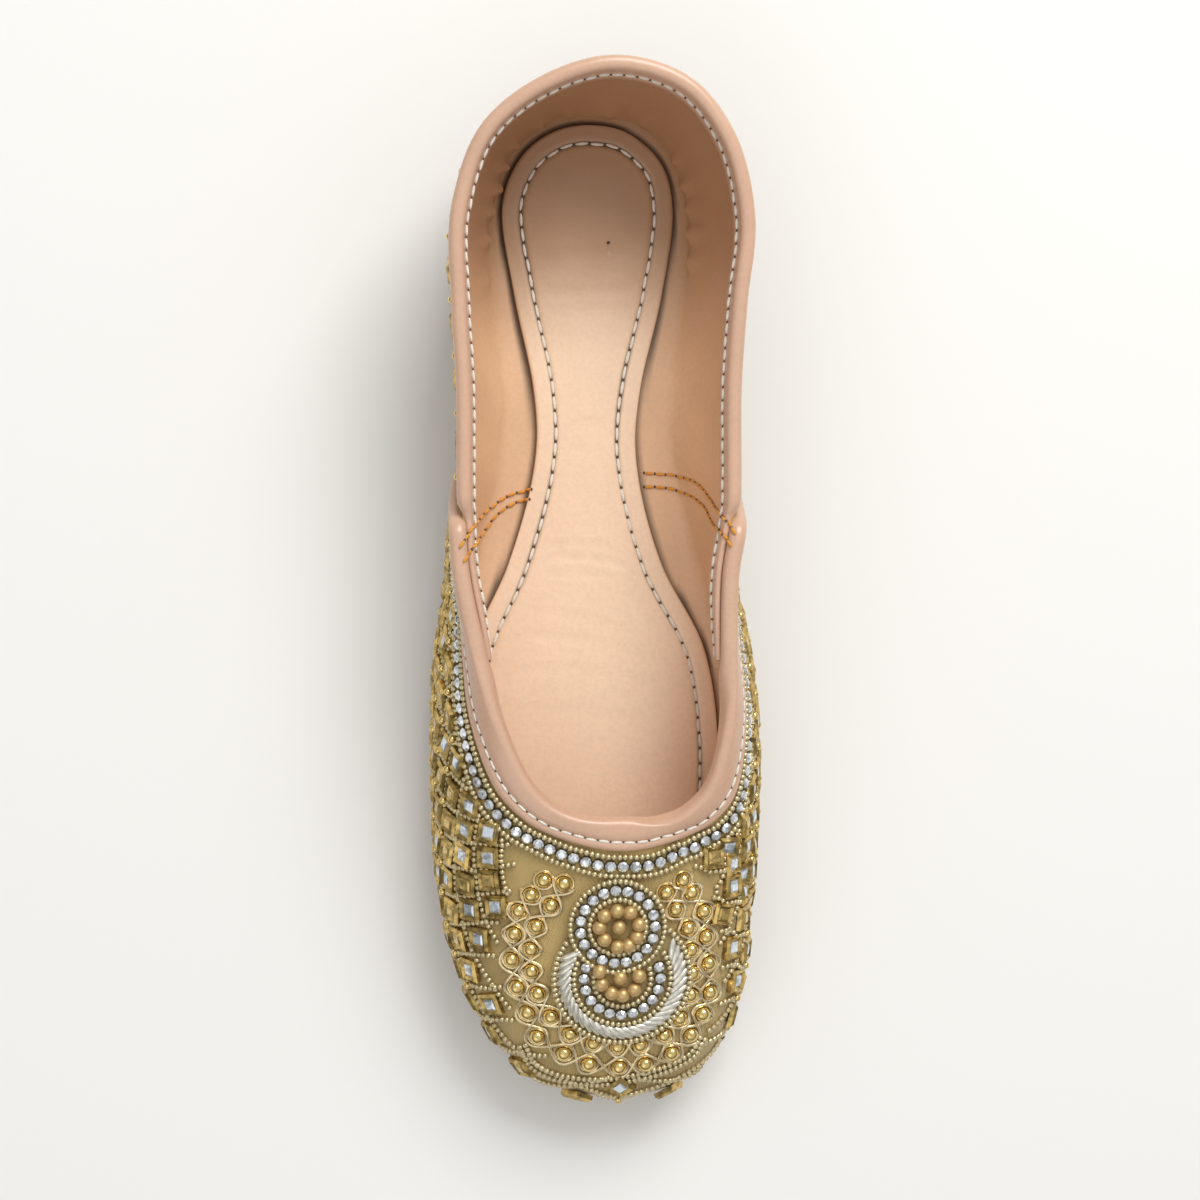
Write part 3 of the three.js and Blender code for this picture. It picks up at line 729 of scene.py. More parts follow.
def collar_roll(material):
    """The strip folded over the quarter's top edge, flatter under the vamp's lap."""
    start, end = distance_at(medial(QUARTER_END)) - ROUND, distance_at(QUARTER_END)
    s = np.arange(start, end + 0.5, 1.1)
    s[-1] = end
    rings = []
    for place, under in zip(s, under_vamp(s)):
        high = 1.3 * (1 - under) + -0.72 * under
        outline = collar_profile(high, 5.0 * (1 - under) + 1.2 * under)
        depth = outline[:, 0] + LAP_DROP * under
        rings.append(wall_point(np.full(len(depth), place), depth, outline[:, 1]))
    points, faces = tube(softened(np.array(rings)))
    made = make_object("collar_roll", points, faces)
    return settle(made, material, ["collar_binding"], angle=60)


def edge_path(step=1.1):
    """The vamp's edge as places on the wall: up the lateral rear edge, round the throat and down again.

    Each place has its distance round the shoe, its depth and the way into the vamp.
    """
    start, end = vamp_ends(0.0)
    run = np.arange(start + CORNER, end - CORNER, step)
    top = np.stack([run, 0 * run, 0 * run, 0 * run + 1], -1)
    turn = np.linspace(0, np.pi / 2, 10)
    cosine, sine = np.cos(turn), np.sin(turn)
    arc = np.stack([start + CORNER - CORNER * cosine, CORNER - CORNER * sine, cosine, sine], -1)
    total = float(wall_height(start))
    share = np.linspace(0.97, CORNER / total, 34)[:-1]
    rear = np.stack([vamp_ends(share)[0], share * total, 0 * share + 1, 0 * share], -1)
    lateral_side = np.concatenate([rear, arc])
    mirrored = lateral_side[::-1].copy()
    mirrored[:, 0] = start + end - mirrored[:, 0]
    mirrored[:, 2] *= -1
    return np.concatenate([lateral_side, top, mirrored])


def throat_roll(material):
    """The strip folded over the vamp's edge, wide round the throat and narrow down the rear edges."""
    path = edge_path()
    from_front, to_front = distance_at(QUARTER_END), distance_at(medial(QUARTER_END))
    place = path[:, 0]
    fronts = smooth(from_front - 2, from_front + 8, place) * (1 - smooth(to_front - 8, to_front + 2, place))
    rings = []
    for (s, depth, way_s, way_d), front in zip(path, fronts):
        rear = smooth(1.0, CORNER, depth)
        low = -1.7 * front + (1 - front) * (-0.85 * (1 - rear) + 0.12 * rear)
        inner = 3.0 * front - 0.1 * (1 - front)
        reach, out = throat_profile(low, WALL + 1.3, inner, 6.0).T
        rings.append(wall_point(s + way_s * reach, depth + way_d * reach, out))
    rings = softened(np.array(rings), 6)
    middle = distance_at(LAST_ROW)
    calm = smooth(middle - 50, middle - 35, place) * (1 - smooth(middle + 45, middle + 60, place))
    rings += (softened(rings.copy(), 60) - rings) * calm[:, None, None]
    points, faces = tube(rings)
    made = make_object("throat_roll", points, faces)
    return settle(made, material, ["throat_binding"], angle=60)


SOCK = plan_point("sock", np.linspace(0, ROUND, 900, endpoint=False))
INSOLE_TROUGH = 4.8  # how far inside its edge the insole is stitched
# Creases of the insole in millimetres: ends, sag along the shoe, depth and half width
CREASES = [
    (-17, 83, 13, 85, 2.0, 0.25, 1.6), (-19, 77, 14, 78, -1.5, 0.3, 1.8), (-15, 70, 12, 71, 1.5, 0.22, 1.5),
    (-12, 42, 9, 43, 1.0, 0.22, 1.4), (-10, 37, 8, 38, -0.8, 0.16, 1.2),
    (-14, 12, 8, 11, 1.6, 0.25, 1.1), (-16, 9, 9, 7.5, 1.6, 0.28, 1.0), (-13, 5.5, 6, 4.5, 1.0, 0.2, 0.9),
    (-19, -4, 8, -8, 1.5, 0.14, 0.9), (-20, -10, 15, -16, 2.0, 0.16, 1.0),
    (-18, -19, 20, -24, 2.5, 0.14, 1.1), (-22, -29, 18, -33, 2.0, 0.12, 1.0),
]


def off_sock(plan):
    """Distance of places in plan from the insole's outline."""
    parts = np.array_split(plan, 40)
    return np.concatenate([np.linalg.norm(part[:, None] - SOCK[None], axis=-1).min(-1) for part in parts])


def insole_relief(x, y):
    """Height of the insole's top over its plane: soft pad, stitched trough, creases and a pin hole."""
    inside = off_sock(np.stack([x.ravel(), y.ravel()], -1)).reshape(x.shape)
    bell = lambda value: np.exp(-(value**2))
    relief = 0.35 * smooth(5.5, 14, inside) - 0.5 * bell((inside - INSOLE_TROUGH) / 0.75)
    relief += 0.12 * np.sin(x * 0.13 + 1) * np.sin(y * 0.09)
    for x0, y0, x1, y1, sag, deep, half in CREASES:
        t = (x - x0) / (x1 - x0)
        line = y0 + (y1 - y0) * t + sag * 4 * t * (1 - t) + 0.35 * np.sin(x * 0.9 + y0)
        fade = smooth(-0.12, 0.15, t) * (1 - smooth(0.85, 1.12, t))
        fold = bell((y - line) / half) - 0.5 * bell((y - line - 1.6 * half) / half)
        relief -= 0.7 * deep * fade * smooth(6, 11, inside) * fold
    relief -= 0.9 * np.exp(-((x - 4.0) ** 2 + (y - 87.5) ** 2) / 0.5)
    return relief


def plate_piece(name, line, out, last_row, low, high, across, per_row, edge, relief=None):
    """A plate between the two runs of a plan line, with rounded edges."""
    rows = np.linspace(0, last_row, int(last_row * per_row) + 1)
    lateral = distance_at(rows)
    corners = [(-edge, 0.0), (-0.3 * edge, 0.3 * edge), (0, edge)]
    span = np.linspace(0, 1, across)[1:-1]
    rings = []
    for a, b in zip(lateral, np.mod(distance_at(medial(rows)), ROUND)):
        left = [plan_point(line, a, out + shift) for shift, _ in corners]
        right = [plan_point(line, b, out + shift) for shift, _ in corners]
        if a == b or rows[-1] == LAST_ROW and a == lateral[-1]:
            right = left
        bottom = lambda side: [(*p, low(p[1]) + rise) for p, (_, rise) in zip(side, corners)]
        top = lambda side: [(*p, high(p[1]) - rise) for p, (_, rise) in zip(side, corners)]
        between = [left[0] * (1 - t) + right[0] * t for t in span]
        middle = [(*p, high(p[1])) for p in between]
        rings.append([*bottom(left), *top(left)[::-1], *middle, *top(right), *bottom(right)[::-1]])
    rings = np.array(rings)
    if relief is not None:
        face = rings[:, 5 : 7 + len(span)]
        face[..., 2] += relief(face[..., 0], face[..., 1])
    return make_object(name, *tube(rings))


def mark_gap(made):
    """Painted shade on the lining beside the insole's edge, for the dark gap line there."""
    places = vertex_places(made)
    low = places[:, 2] < margin_top(places[:, 1]) + 3.0
    mark_gap_shade(made, (1 - smooth(0.7, 1.5, off_sock(places[:, :2]))) * low)


def mark_edge(made, low):
    """Painted shade of the gap on the insole's cut edge, and none on top."""
    places = vertex_places(made)
    mark_gap_shade(made, 1 - smooth(1.7, 2.15, places[:, 2] - low(places[:, 1])))


def insole_leather(material):
    """The padded insole on the lasting margin."""
    low = lambda y: margin_top(y) + CLEARANCE
    high = lambda y: low(y) + INSOLE_THICKNESS
    made = plate_piece("insole_leather", "sock", 0.0, LAST_ROW, low, high, 74, 20, 0.7, insole_relief)
    mark_edge(made, low)
    return settle(made, material, ["insole"], angle=50)


def heel_row():
    """The row where the heel's front edge crosses."""
    rows = np.arange(3, 6, 0.01)
    return rows[np.argmax(plan_point("foot", distance_at(rows))[:, 1] <= along(HEEL_BREAST))]


def sole_pieces(material, heel_material):
    """The outsole and the heel under it."""
    level = lambda height: (lambda y: height + 0 * y)
    plates = (
        ("outsole", SOLE_LEDGE, LAST_ROW, underside, sole_top, 0.7, material),
        ("heel", HEEL_LEDGE, heel_row(), level(0.0), level(HEEL_LIFT - CLEARANCE), 0.5, heel_material),
    )
    for node, ledge, last_row, low, high, edge, finish in plates:
        plate = plate_piece(node + "_leather", "foot", ledge, last_row, low, high, 8, 9, edge)
        settle(plate, finish, [node], angle=35)


# Small things ---------------------------------------------------------------------------------------


def model(build, *args, **kwargs):
    """Points and faces of a small shape modelled once with the mesh operators, one unit to a millimetre."""
    bpy.ops.object.select_all(action="DESELECT")
    build(*args, **kwargs)
    shape = bpy.context.object
    mesh = shape.data
    points = np.array([vertex.co[:] for vertex in mesh.vertices])
    faces = [tuple(polygon.vertices) for polygon in mesh.polygons]
    bpy.data.objects.remove(shape)
    return points, faces


def bead_shape(segments, rings):
    bpy.ops.mesh.primitive_uv_sphere_add(segments=segments, ring_count=rings, radius=1)


def stone_shape():
    """A round stone: a girdle, a sloping crown and a flat table."""
    bpy.ops.mesh.primitive_cone_add(vertices=9, radius1=1.0, radius2=1.0, depth=0.5, end_fill_type="NGON")
    edit_top(0.6, 0.45)


def edit_top(size, lift):
    """Extrudes the face that looks up, then narrows and lifts it."""
    made = bpy.context.object
    bpy.ops.object.mode_set(mode="EDIT")
    bpy.ops.mesh.select_mode(type="FACE")
    bpy.ops.mesh.select_all(action="DESELECT")
    bpy.ops.object.mode_set(mode="OBJECT")
    for polygon in made.data.polygons:
        polygon.select = polygon.normal.z > 0.9
    bpy.ops.object.mode_set(mode="EDIT")
    bpy.ops.mesh.extrude_region_move(TRANSFORM_OT_translate={"value": (0, 0, lift)})
    bpy.ops.transform.resize(value=(size, size, 1), center_override=(0, 0, 0))
    bpy.ops.object.mode_set(mode="OBJECT")


def square_block(half_height):
    """A block two units wide, to be shaped on."""
    bpy.ops.mesh.primitive_cube_add(size=2)
    bpy.ops.transform.resize(value=(1, 1, half_height))
    bpy.ops.object.transform_apply(location=True, rotation=True, scale=True)


def frame_shape():
    """A square setting: a block whose top slopes up to a rim and steps down to its seat."""
    square_block(0.2)
    edit_top(0.8, 0.24)
    edit_top(0.84, 0.02)
    edit_top(0.72, -0.2)


def plate_shape():
    """A square plate with a sloping edge."""
    square_block(0.12)
    edit_top(0.72, 0.16)


def stepped_shape():
    """A square glass cut in steps towards a small table."""
    plate_shape()
    edit_top(0.98, 0.1)
    edit_top(0.62, 0.02)


def ring_shape(thickness):
    bpy.ops.mesh.primitive_torus_add(
        major_radius=1, minor_radius=thickness, major_segments=14, minor_segments=5
    )


def copies(shape, origins, across, normals, sizes):
    """A shape set at each origin: X along the given way, Z along the normal, scaled by its sizes."""
    points, faces = shape
    z = unit(np.asarray(normals, float))
    x = unit(across - (across * z).sum(-1, keepdims=True) * z)
    y = np.cross(z, x)
    sizes = np.broadcast_to(np.asarray(sizes, float), (len(origins), 3))
    axes = np.stack([x, y, z], 1) * sizes[..., None]
    placed = origins[:, None] + np.einsum("pk,nkc->npc", points, axes)
    starts = np.arange(len(origins)) * len(points)
    all_faces = [tuple(v + start for v in face) for start in starts.tolist() for face in faces]
    return placed.reshape(-1, 3), all_faces


def cluster(name, parts, finish, angle=50):
    """One piece made of many small parts; its finish is a pair of a slot name, which is not used, and a
    material.
    """
    points, faces = gather_parts(parts) if len(parts) > 1 else parts[0]
    slot, material = finish
    return settle(make_object(name, points, faces), material, angle=angle, turn=False)


def seed_sizes(seed):
    """Half sizes of a seed bead strung on a line, a little flattened along it."""
    return 0.54 * seed, 0.62 * seed, 0.6 * seed


def seed_row(bead, line, normals, pitch, seed):
    """Seed beads strung along a line."""
    points, ways, ups = resample(line, normals, pitch)
    return copies(bead, points, ways, ups, seed_sizes(seed))


def resample(points, normals, pitch, shift=0.0):
    """Even places along a line with the way along it and the normal."""
    lengths = np.concatenate([[0], np.cumsum(np.linalg.norm(np.diff(points, axis=0), axis=1))])
    count = max(2, int(round(lengths[-1] / pitch)))
    at = (np.arange(count) + 0.5 + shift) / count * lengths[-1]
    pick = lambda values, d: np.stack([np.interp(d, lengths, values[:, k]) for k in range(3)], -1)
    ways = unit(pick(points, at + 0.2) - pick(points, at - 0.2))
    return pick(points, at), ways, unit(pick(normals, at))


def outer_line(s, depth, out):
    """Points and normals of a line on the outside of the wall."""
    point, _, _, normal = wall_frame(s, depth)
    return point + normal * np.asarray(out, float)[..., None], normal


# The vamp's top, looked up from plan places ----------------------------------------------------------


def vamp_top():
    """A search tree of the vamp's outer face."""
    _, _, face = vamp_grid(1.0, np.linspace(0, 1, 70), 0.3, 0.5, WALL)
    rows, cols = face.shape[:2]
    return BVHTree.FromPolygons(face.reshape(-1, 3).tolist(), grid_faces(rows, cols).tolist())


VAMP_TREE = vamp_top()


def seat(plan, lift=0.0):
    """Points and normals of the vamp's face under places in plan, lifted off it."""
    points, normals = [], []
    for x, y in plan:
        hit, normal, _, _ = VAMP_TREE.ray_cast(Vector((x, y, 200)), Vector((0, 0, -1)))
        if hit is None:
            hit, normal, _, _ = VAMP_TREE.find_nearest(Vector((x, y, 30)))
        normal = normal if normal.z > 0 else -normal
        points.append(hit + normal * lift)
        normals.append(normal)
    points, normals = np.array(points), np.array(normals)
    if len(points) > 4:
        soft = normals.copy()
        soft[1:-1] = normals[:-2] + 2 * normals[1:-1] + normals[2:]
        normals = unit(soft)
    return points, normals


PICTURE_SIZE = 1200.0
PICTURE_SCALE = 2540.0  # picture units for one unit of slope from the camera
CAMERA_X, CAMERA_Y, CAMERA_HEIGHT = -51.0, -3.0, 650.0
DRAWING_LEFT, DRAWING_TOP, DRAWING_SCALE = 20, 160, 4.126


def chain_places(listed):
    """Plan places in millimetres of beads listed in the beadwork's own drawing units."""
    listed = np.array(listed, float)
    across, down = (np.array([DRAWING_LEFT, DRAWING_TOP]) + listed / DRAWING_SCALE).T
    height = np.full(len(listed), 36.0)
    for _ in range(3):
        reach = (CAMERA_HEIGHT - height) / PICTURE_SCALE
        plan = np.stack([across * reach + CAMERA_X, -down * reach + CAMERA_Y], -1)
        height = seat(plan, 1.5)[0][:, 2]
    return plan


INNER_CHAIN = [
    (550, 465), (635, 480), (580, 570), (520, 655), (497, 750), (500, 840), (527, 932), (580, 1028),
    (660, 1100), (755, 1140), (857, 1155), (950, 1150), (1050, 1110), (1115, 1040), (1160, 945),
    (1168, 855), (1163, 760), (1150, 670), (1100, 590), (1060, 520),
]
OUTER_CHAIN = [
    (497, 525), (447, 590), (428, 685), (418, 790), (440, 905), (483, 1010), (525, 1110), (635, 1180),
    (738, 1225), (863, 1240), (972, 1228), (1080, 1185), (1160, 1110), (1210, 1025), (1240, 935),
    (1235, 815), (1225, 705), (1215, 600), (1165, 520), (1130, 470),
]
UPPER_PEARLS = [
    (800, 603), (852, 583), (907, 590), (943, 640), (935, 690), (900, 724), (853, 730), (800, 700),
    (780, 650), (860, 650),
]
LOWER_PEARLS = [(780, 830), (788, 882), (830, 918), (875, 928), (924, 905), (943, 850), (865, 857)]
UPPER_DISC, LOWER_DISC = (3.7, -79.4, 11.3), (5.1, -92.3, 16.4)  # middle in plan, then radius
PAD_TOP = CLEARANCE + 1.2


def smooth_path(points, per_step):
    """A smooth line through points, with the same number of steps between each two."""
    p = np.concatenate([[2 * points[0] - points[1]], points, [2 * points[-1] - points[-2]]])
    t = (np.arange(per_step) / per_step)[:, None]
    runs = []
    for a, b, c, d in zip(p, p[1:], p[2:], p[3:]):
        square, cube = 2 * a - 5 * b + 4 * c - d, 3 * b - a - 3 * c + d
        runs.append(0.5 * (2 * b + (c - a) * t + square * t**2 + cube * t**3))
    return np.concatenate([*runs, points[-1:]])


WIRE_RADIUS = 0.44


def beside(path):
    """The way to one side of a line in plan."""
    run = unit(np.gradient(path, axis=0))
    return np.stack([-run[:, 1], run[:, 0]], -1)


def wire(plan, swing, phase):
    """A wavy wire that passes each bead of a chain on alternate sides."""
    steps = 14
    path = smooth_path(plan, steps)
    t = np.arange(len(path)) / steps
    path = path + beside(path) * (swing * np.cos(np.pi * t + phase))[:, None]
    points, normals = seat(path, 0.42)
    points = points + normals * (0.26 * np.sin(2 * np.pi * t + phase))[:, None]
    return round_tube(points, normals, WIRE_RADIUS, 6)


def round_tube(points, normals, radius, sides):
    """A round wire along a line."""
    way = unit(np.gradient(points, axis=0))
    up = unit(normals - (normals * way).sum(-1, keepdims=True) * way)
    side = np.cross(way, up)
    angle = 2 * np.pi * np.arange(sides) / sides
    cosine, sine = np.cos(angle)[:, None], np.sin(angle)[:, None]
    return tube(points[:, None] + radius * (cosine * side[:, None] + sine * up[:, None]))


def circle_places(disc, radius, pitch, start=0.0, end=360.0):
    """Even plan places round a disc's centre between two angles."""
    whole = end - start >= 360
    length = math.radians(end - start) * radius
    count = max(3, int(round(length / pitch)))
    angle = np.radians(start) + np.arange(count + (not whole)) * math.radians(end - start) / count
    return np.stack([disc[0] + radius * np.cos(angle), disc[1] + radius * np.sin(angle)], -1)


def clear_of(places, disc, radius):
    """The places in plan further than a radius from a disc's centre."""
    return places[np.hypot(places[:, 0] - disc[0], places[:, 1] - disc[1]) > radius]


def ways_round(places, disc):
    """The way round a disc's centre at places in plan."""
    away = places - np.array(disc[:2])
    return np.stack([-away[:, 1], away[:, 0], 0 * away[:, 0]], -1)


# Beadwork -------------------------------------------------------------------------------------------

LATTICE_ANGLE = math.radians(33)
LEAF_SLANT = math.radians(38)
STONE_RADIUS, STONE_PITCH = 1.32, 2.9
# Rings of seed beads: radius and pitch
UPPER_RINGS = ((11.2, 1.32), (6.75, 1.3))
LOWER_RINGS = ((11.6, 1.35), (6.9, 1.3), (16.2, 1.34))
BAND_ROWS = (7.4, 9.8, 12.2)  # depths of the seed, stone and seed rows below the throat


def medallion_pad(material):
    """The medallion's ground: two discs run together, with a rounded edge."""
    cx, cy = (UPPER_DISC[0] + LOWER_DISC[0]) / 2, (UPPER_DISC[1] + LOWER_DISC[1]) / 2
    angle = np.linspace(0, 2 * np.pi, 120, endpoint=False)

    def rim(disc):
        dx, dy = cx - disc[0], cy - disc[1]
        b = dx * np.cos(angle) + dy * np.sin(angle)
        inside = b * b - (dx * dx + dy * dy - disc[2] ** 2)
        return np.where(inside > 0, -b + np.sqrt(np.maximum(inside, 0)), 0)

    reach = np.maximum(rim(UPPER_DISC), rim(LOWER_DISC))
    rings = [(0.02, PAD_TOP), *[(r, PAD_TOP) for r in np.linspace(0.12, 0.93, 9)], (0.975, PAD_TOP - 0.15),
             (1.0, PAD_TOP - 0.5), (1.0, 0.1), (0.9, 0.05), (0.02, 0.05)]
    loops = []
    for share, lift in rings:
        plan = np.stack([cx + share * reach * np.cos(angle), cy + share * reach * np.sin(angle)], -1)
        loops.append(seat(plan, lift)[0])
    points, faces = tube(np.array(loops))
    made = make_object("medallion_pad", points, faces, points[:, :2])
    return settle(made, material, ["medallion"], angle=50)


def medallion_beads(finishes, seed):
    """Stones, pearls, leaves and seed rings of the medallion."""
    bead, pearl = model(bead_shape, 8, 5), model(bead_shape, 16, 10)
    rings = [circle_places(UPPER_DISC, radius, pitch) for radius, pitch in UPPER_RINGS]
    for radius, pitch in LOWER_RINGS:
        rings.append(clear_of(circle_places(LOWER_DISC, radius, pitch), UPPER_DISC, 12.2))
    small = np.concatenate(rings)
    points, normals = seat(small, PAD_TOP + 0.5)
    sizes = (seed * 0.52, seed * 0.6, seed * 0.56)
    beads = copies(bead, points, ways_round(small, LOWER_DISC), normals, sizes)
    cluster("medallion_seeds", [beads], finishes["seed"])
    stones = np.concatenate([
        circle_places(UPPER_DISC, 8.95, STONE_PITCH),
        clear_of(circle_places(LOWER_DISC, 9.2, STONE_PITCH), UPPER_DISC, 11.9),
    ])
    points, normals = seat(stones, PAD_TOP + 0.3)
    set_stones("medallion_stones", points, ways_round(stones, UPPER_DISC), normals, finishes)
    points, normals = seat(chain_places(UPPER_PEARLS + LOWER_PEARLS), PAD_TOP + 0.85)
    pearls = copies(pearl, points, normals[:, [2, 0, 1]], normals, (1.8, 1.8, 1.7))
    cluster("medallion_pearls", [pearls], finishes["pearl"])
    leaves = clear_of(circle_places(LOWER_DISC, 13.85, 1.9, 140, 392), UPPER_DISC, 12.4)
    points, normals = seat(leaves, PAD_TOP + 0.35)
    ways = ways_round(leaves, LOWER_DISC)
    away = np.cross(ways, normals)
    ways = unit(ways) * math.cos(LEAF_SLANT) + unit(away) * math.sin(LEAF_SLANT)
    leaf_parts = copies(pearl, points, ways, normals + 0.15 * unit(ways), (3.1, 0.92, 0.85))
    cluster("silver_leaves", [leaf_parts], finishes["silver"])


def set_stones(name, points, ways, normals, finishes):
    """Round stones, each in a metal cup."""
    r = STONE_RADIUS
    stones = copies(model(stone_shape), points + normals * 0.15, ways, normals, (r, r, r * 0.8))
    cups = copies(model(ring_shape, 0.16), points, ways, normals, (r * 1.04, r * 1.04, r * 1.6))
    cluster(name, [stones], finishes["stone"], angle=20)
    cluster(name + "_cups", [cups], finishes["cup"])


TOE_ROW = [(452, 1140), (500, 1228), (590, 1280), (700, 1303), (800, 1308), (900, 1297), (1000, 1277),
           (1090, 1247), (1172, 1198), (1222, 1120)]


def toe_rows(finishes, seed):
    """Two seed rows that close the chains off from the toe's edge."""
    bead = model(bead_shape, 8, 5)
    path = smooth_path(chain_places(TOE_ROW), 12)
    rows = [seat(path + beside(path) * shift, 0.5) for shift in (0.0, 1.45)]
    parts = [seed_row(bead, line, normals, seed, seed) for line, normals in rows]
    cluster("toe_seeds", parts, finishes["seed"])


def dome_chains(finishes, seed):
    """Two chains of gold domes, each between a pair of wavy wires."""
    dome, ring = model(bead_shape, 14, 9), model(ring_shape, 0.13)
    inner, outer = chain_places(INNER_CHAIN), chain_places(OUTER_CHAIN)
    points, normals = seat(np.concatenate([inner, outer]), 0.5)
    across = normals[:, [2, 0, 1]]
    cluster("gold_domes", [copies(dome, points, across, normals, (1.95, 1.95, 1.8))], finishes["gold"])
    rims = copies(ring, points - normals * 0.25, across, normals, (2.4, 2.4, 2.3))
    cluster("dome_rims", [rims], finishes["wire"])
    # The inner chain's first dome stands beside the chain, so its wires start at the second
    tubes = [wire(path, 2.75, phase) for path in (inner[1:], outer) for phase in (0.0, np.pi)]
    cluster("wavy_wires", tubes, finishes["wire"], angle=80)
    toe_rows(finishes, seed)
    return outer


def band_rows(finishes, seed):
    """Rows of seed beads and stones along the throat, and a seed row under the collar."""
    bead = model(bead_shape, 8, 5)
    start, end = vamp_ends(0.0)
    throat = np.arange(start + 9.5, end - 9.5, 0.5)
    collar = np.arange(end - ROUND + 2, start - 2, 0.5)
    first, middle, last = BAND_ROWS
    rows = ((throat, first, WALL + 0.5, 1.0), (throat, last, WALL + 0.5, 1.0), (collar, 6.3, 0.5, 1.02))
    parts = []
    for s, depth, out, spacing in rows:
        line, normals = outer_line(s, 0 * s + depth, 0 * s + out)
        parts.append(seed_row(bead, line, normals, seed * spacing, seed))
    cluster("edge_seeds", parts, finishes["seed"])
    line, normals = outer_line(throat, 0 * throat + middle, 0 * throat + WALL + 0.35)
    points, ways, normals = resample(line, normals, 3.05)
    set_stones("edge_stones", points, ways, normals, finishes)


def inside_polygon(plan, polygon):
    """Which places in plan lie inside a polygon."""
    x, y = plan[..., 0], plan[..., 1]
    inside = np.zeros(x.shape, bool)
    for (x0, y0), (x1, y1) in zip(polygon, np.roll(polygon, -1, axis=0)):
        crosses = (y0 > y) != (y1 > y)
        inside ^= crosses & (x < (x1 - x0) * (y - y0) / (y1 - y0 + 1e-12) + x0)
    return inside


def lattice_room(s, depth, outer_chain, spare):
    """Where the lattice may lie: off the bindings, the band rows, the chains and the sole."""
    s = np.mod(s, ROUND)
    total = wall_height(s)
    low, high = vamp_ends(depth / total)
    vamp = (s > low) & (s < high)
    near_seam = np.minimum(np.abs(s - low), np.abs(s - high))
    clear = np.where(vamp, near_seam > 7.2 + spare, near_seam > 1.6 + spare)
    clear &= depth > np.where(vamp, BAND_ROWS[2] + 1.0, 7.2) + spare
    clear &= depth < total - 2.2 - spare
    point = wall_point(s, depth, WALL)
    centre = outer_chain.mean(0)
    grown = centre + (outer_chain - centre) * (1 + (3.2 + spare) / 26)
    top = np.array([grown[-1] + (1, 14), grown[0] + (-1, 14)])
    level = wall_frame(s, depth)[3][..., 2] > 0.42
    clear &= ~(inside_polygon(point[..., :2], np.concatenate([grown, top])) & vamp & level)
    return clear, np.where(vamp, WALL, 0.0)


SHORTEST_RUN = 14  # steps below which a lattice line is left out
LATTICE_SEED, MIRROR_SHARE = 7, 0.55


def lattice_lines(seed, pitch, outer_chain):
    """The crossing lines of seed beads."""
    sine, cosine = math.sin(LATTICE_ANGLE), math.cos(LATTICE_ANGLE)
    bead = model(bead_shape, 6, 4)
    depth = np.arange(6, 110, 0.35)
    parts = []
    for sign in (1, -1):
        for k in range(-26, int((ROUND * sine + 100) / pitch) + 10):
            s = (k * pitch + sign * depth * cosine) / sine
            keep = (s >= 0) & (s < ROUND) & (depth < wall_height(s))
            if keep.sum() < 8:
                continue
            clear, out = lattice_room(s, depth, outer_chain, 0.0)
            keep &= clear
            for run in np.split(np.arange(len(s)), np.where(~keep)[0]):
                run = run[keep[run]]
                if len(run) < SHORTEST_RUN:
                    continue
                line, normals = outer_line(s[run], depth[run], out[run] + 0.45)
                points, ways, normals = resample(line, normals, seed * 1.05)
                sizes = (seed * 0.54, seed * 0.6, seed * 0.56)
                parts.append(copies(bead, points, ways, normals, sizes))
    return parts


def lattice_places(shift, pitch, outer_chain, spare):
    """Places, depths and lifts of the crossings, or with a shift of one half those of the cells."""
    sine, cosine = math.sin(LATTICE_ANGLE), math.cos(LATTICE_ANGLE)
    s, depth = np.array([
        ((i + j + 2 * shift) * pitch / (2 * sine), (j - i) * pitch / (2 * cosine))
        for i in range(-26, 60) for j in range(i, i + 26)
    ]).T
    on_wall = (s >= 0) & (s < ROUND) & (depth < wall_height(s) - 2)
    s, depth = s[on_wall], depth[on_wall]
    clear, out = lattice_room(s, depth, outer_chain, spare)
    return s[clear], depth[clear], out[clear]


def lattice(finishes, seed, pitch, outer_chain):
    """Crossing lines of seed beads with a framed mirror in each cell, and balls at the side crossings."""
    parts = lattice_lines(seed, pitch, outer_chain)
    half = len(parts) // 2
    cluster("lattice_seeds_a", parts[:half], finishes["seed"])
    cluster("lattice_seeds_b", parts[half:], finishes["seed"])
    s, depth, out = lattice_places(0.5, pitch, outer_chain, 1.5)
    point, way, up, normal = wall_frame(s, depth)
    base = point + normal * (out + 0.2)[:, None]
    random = np.random.default_rng(LATTICE_SEED)
    tilt = normal + 0.07 * random.normal(size=normal.shape)
    across = unit(way + up + 0.06 * random.normal(size=normal.shape))
    frames, mirror, glass = model(frame_shape), model(plate_shape), model(stepped_shape)
    settings = copies(frames, base + unit(tilt) * 0.3, across, tilt, (2.85, 2.85, 2.8))
    cluster("mirror_frames", [settings], finishes["frame"], angle=25)
    bright = random.random(len(s)) < MIRROR_SHARE
    seats = base + unit(tilt) * 0.85
    kinds = (("mirrors", mirror, bright, 1.42, "mirror"), ("cut_glass", glass, ~bright, 1.5, "cut"))
    for name, shape, chosen, size, finish in kinds:
        part = copies(shape, seats[chosen], across[chosen], tilt[chosen], (size, size, 1.6))
        cluster(name, [part], finishes[finish], angle=20)
    s, depth, out = lattice_places(0.0, pitch, outer_chain, 0.6)
    point, way, _, normal = wall_frame(s, depth)
    side = normal[:, 2] < 0.45
    points = (point + normal * (out + 1.15)[:, None])[side]
    balls = copies(model(bead_shape, 12, 8), points, way[side], normal[side], (1.0, 1.0, 1.0))
    cluster("gold_balls", [balls], finishes["gold"])


# Stitches -------------------------------------------------------------------------------------------


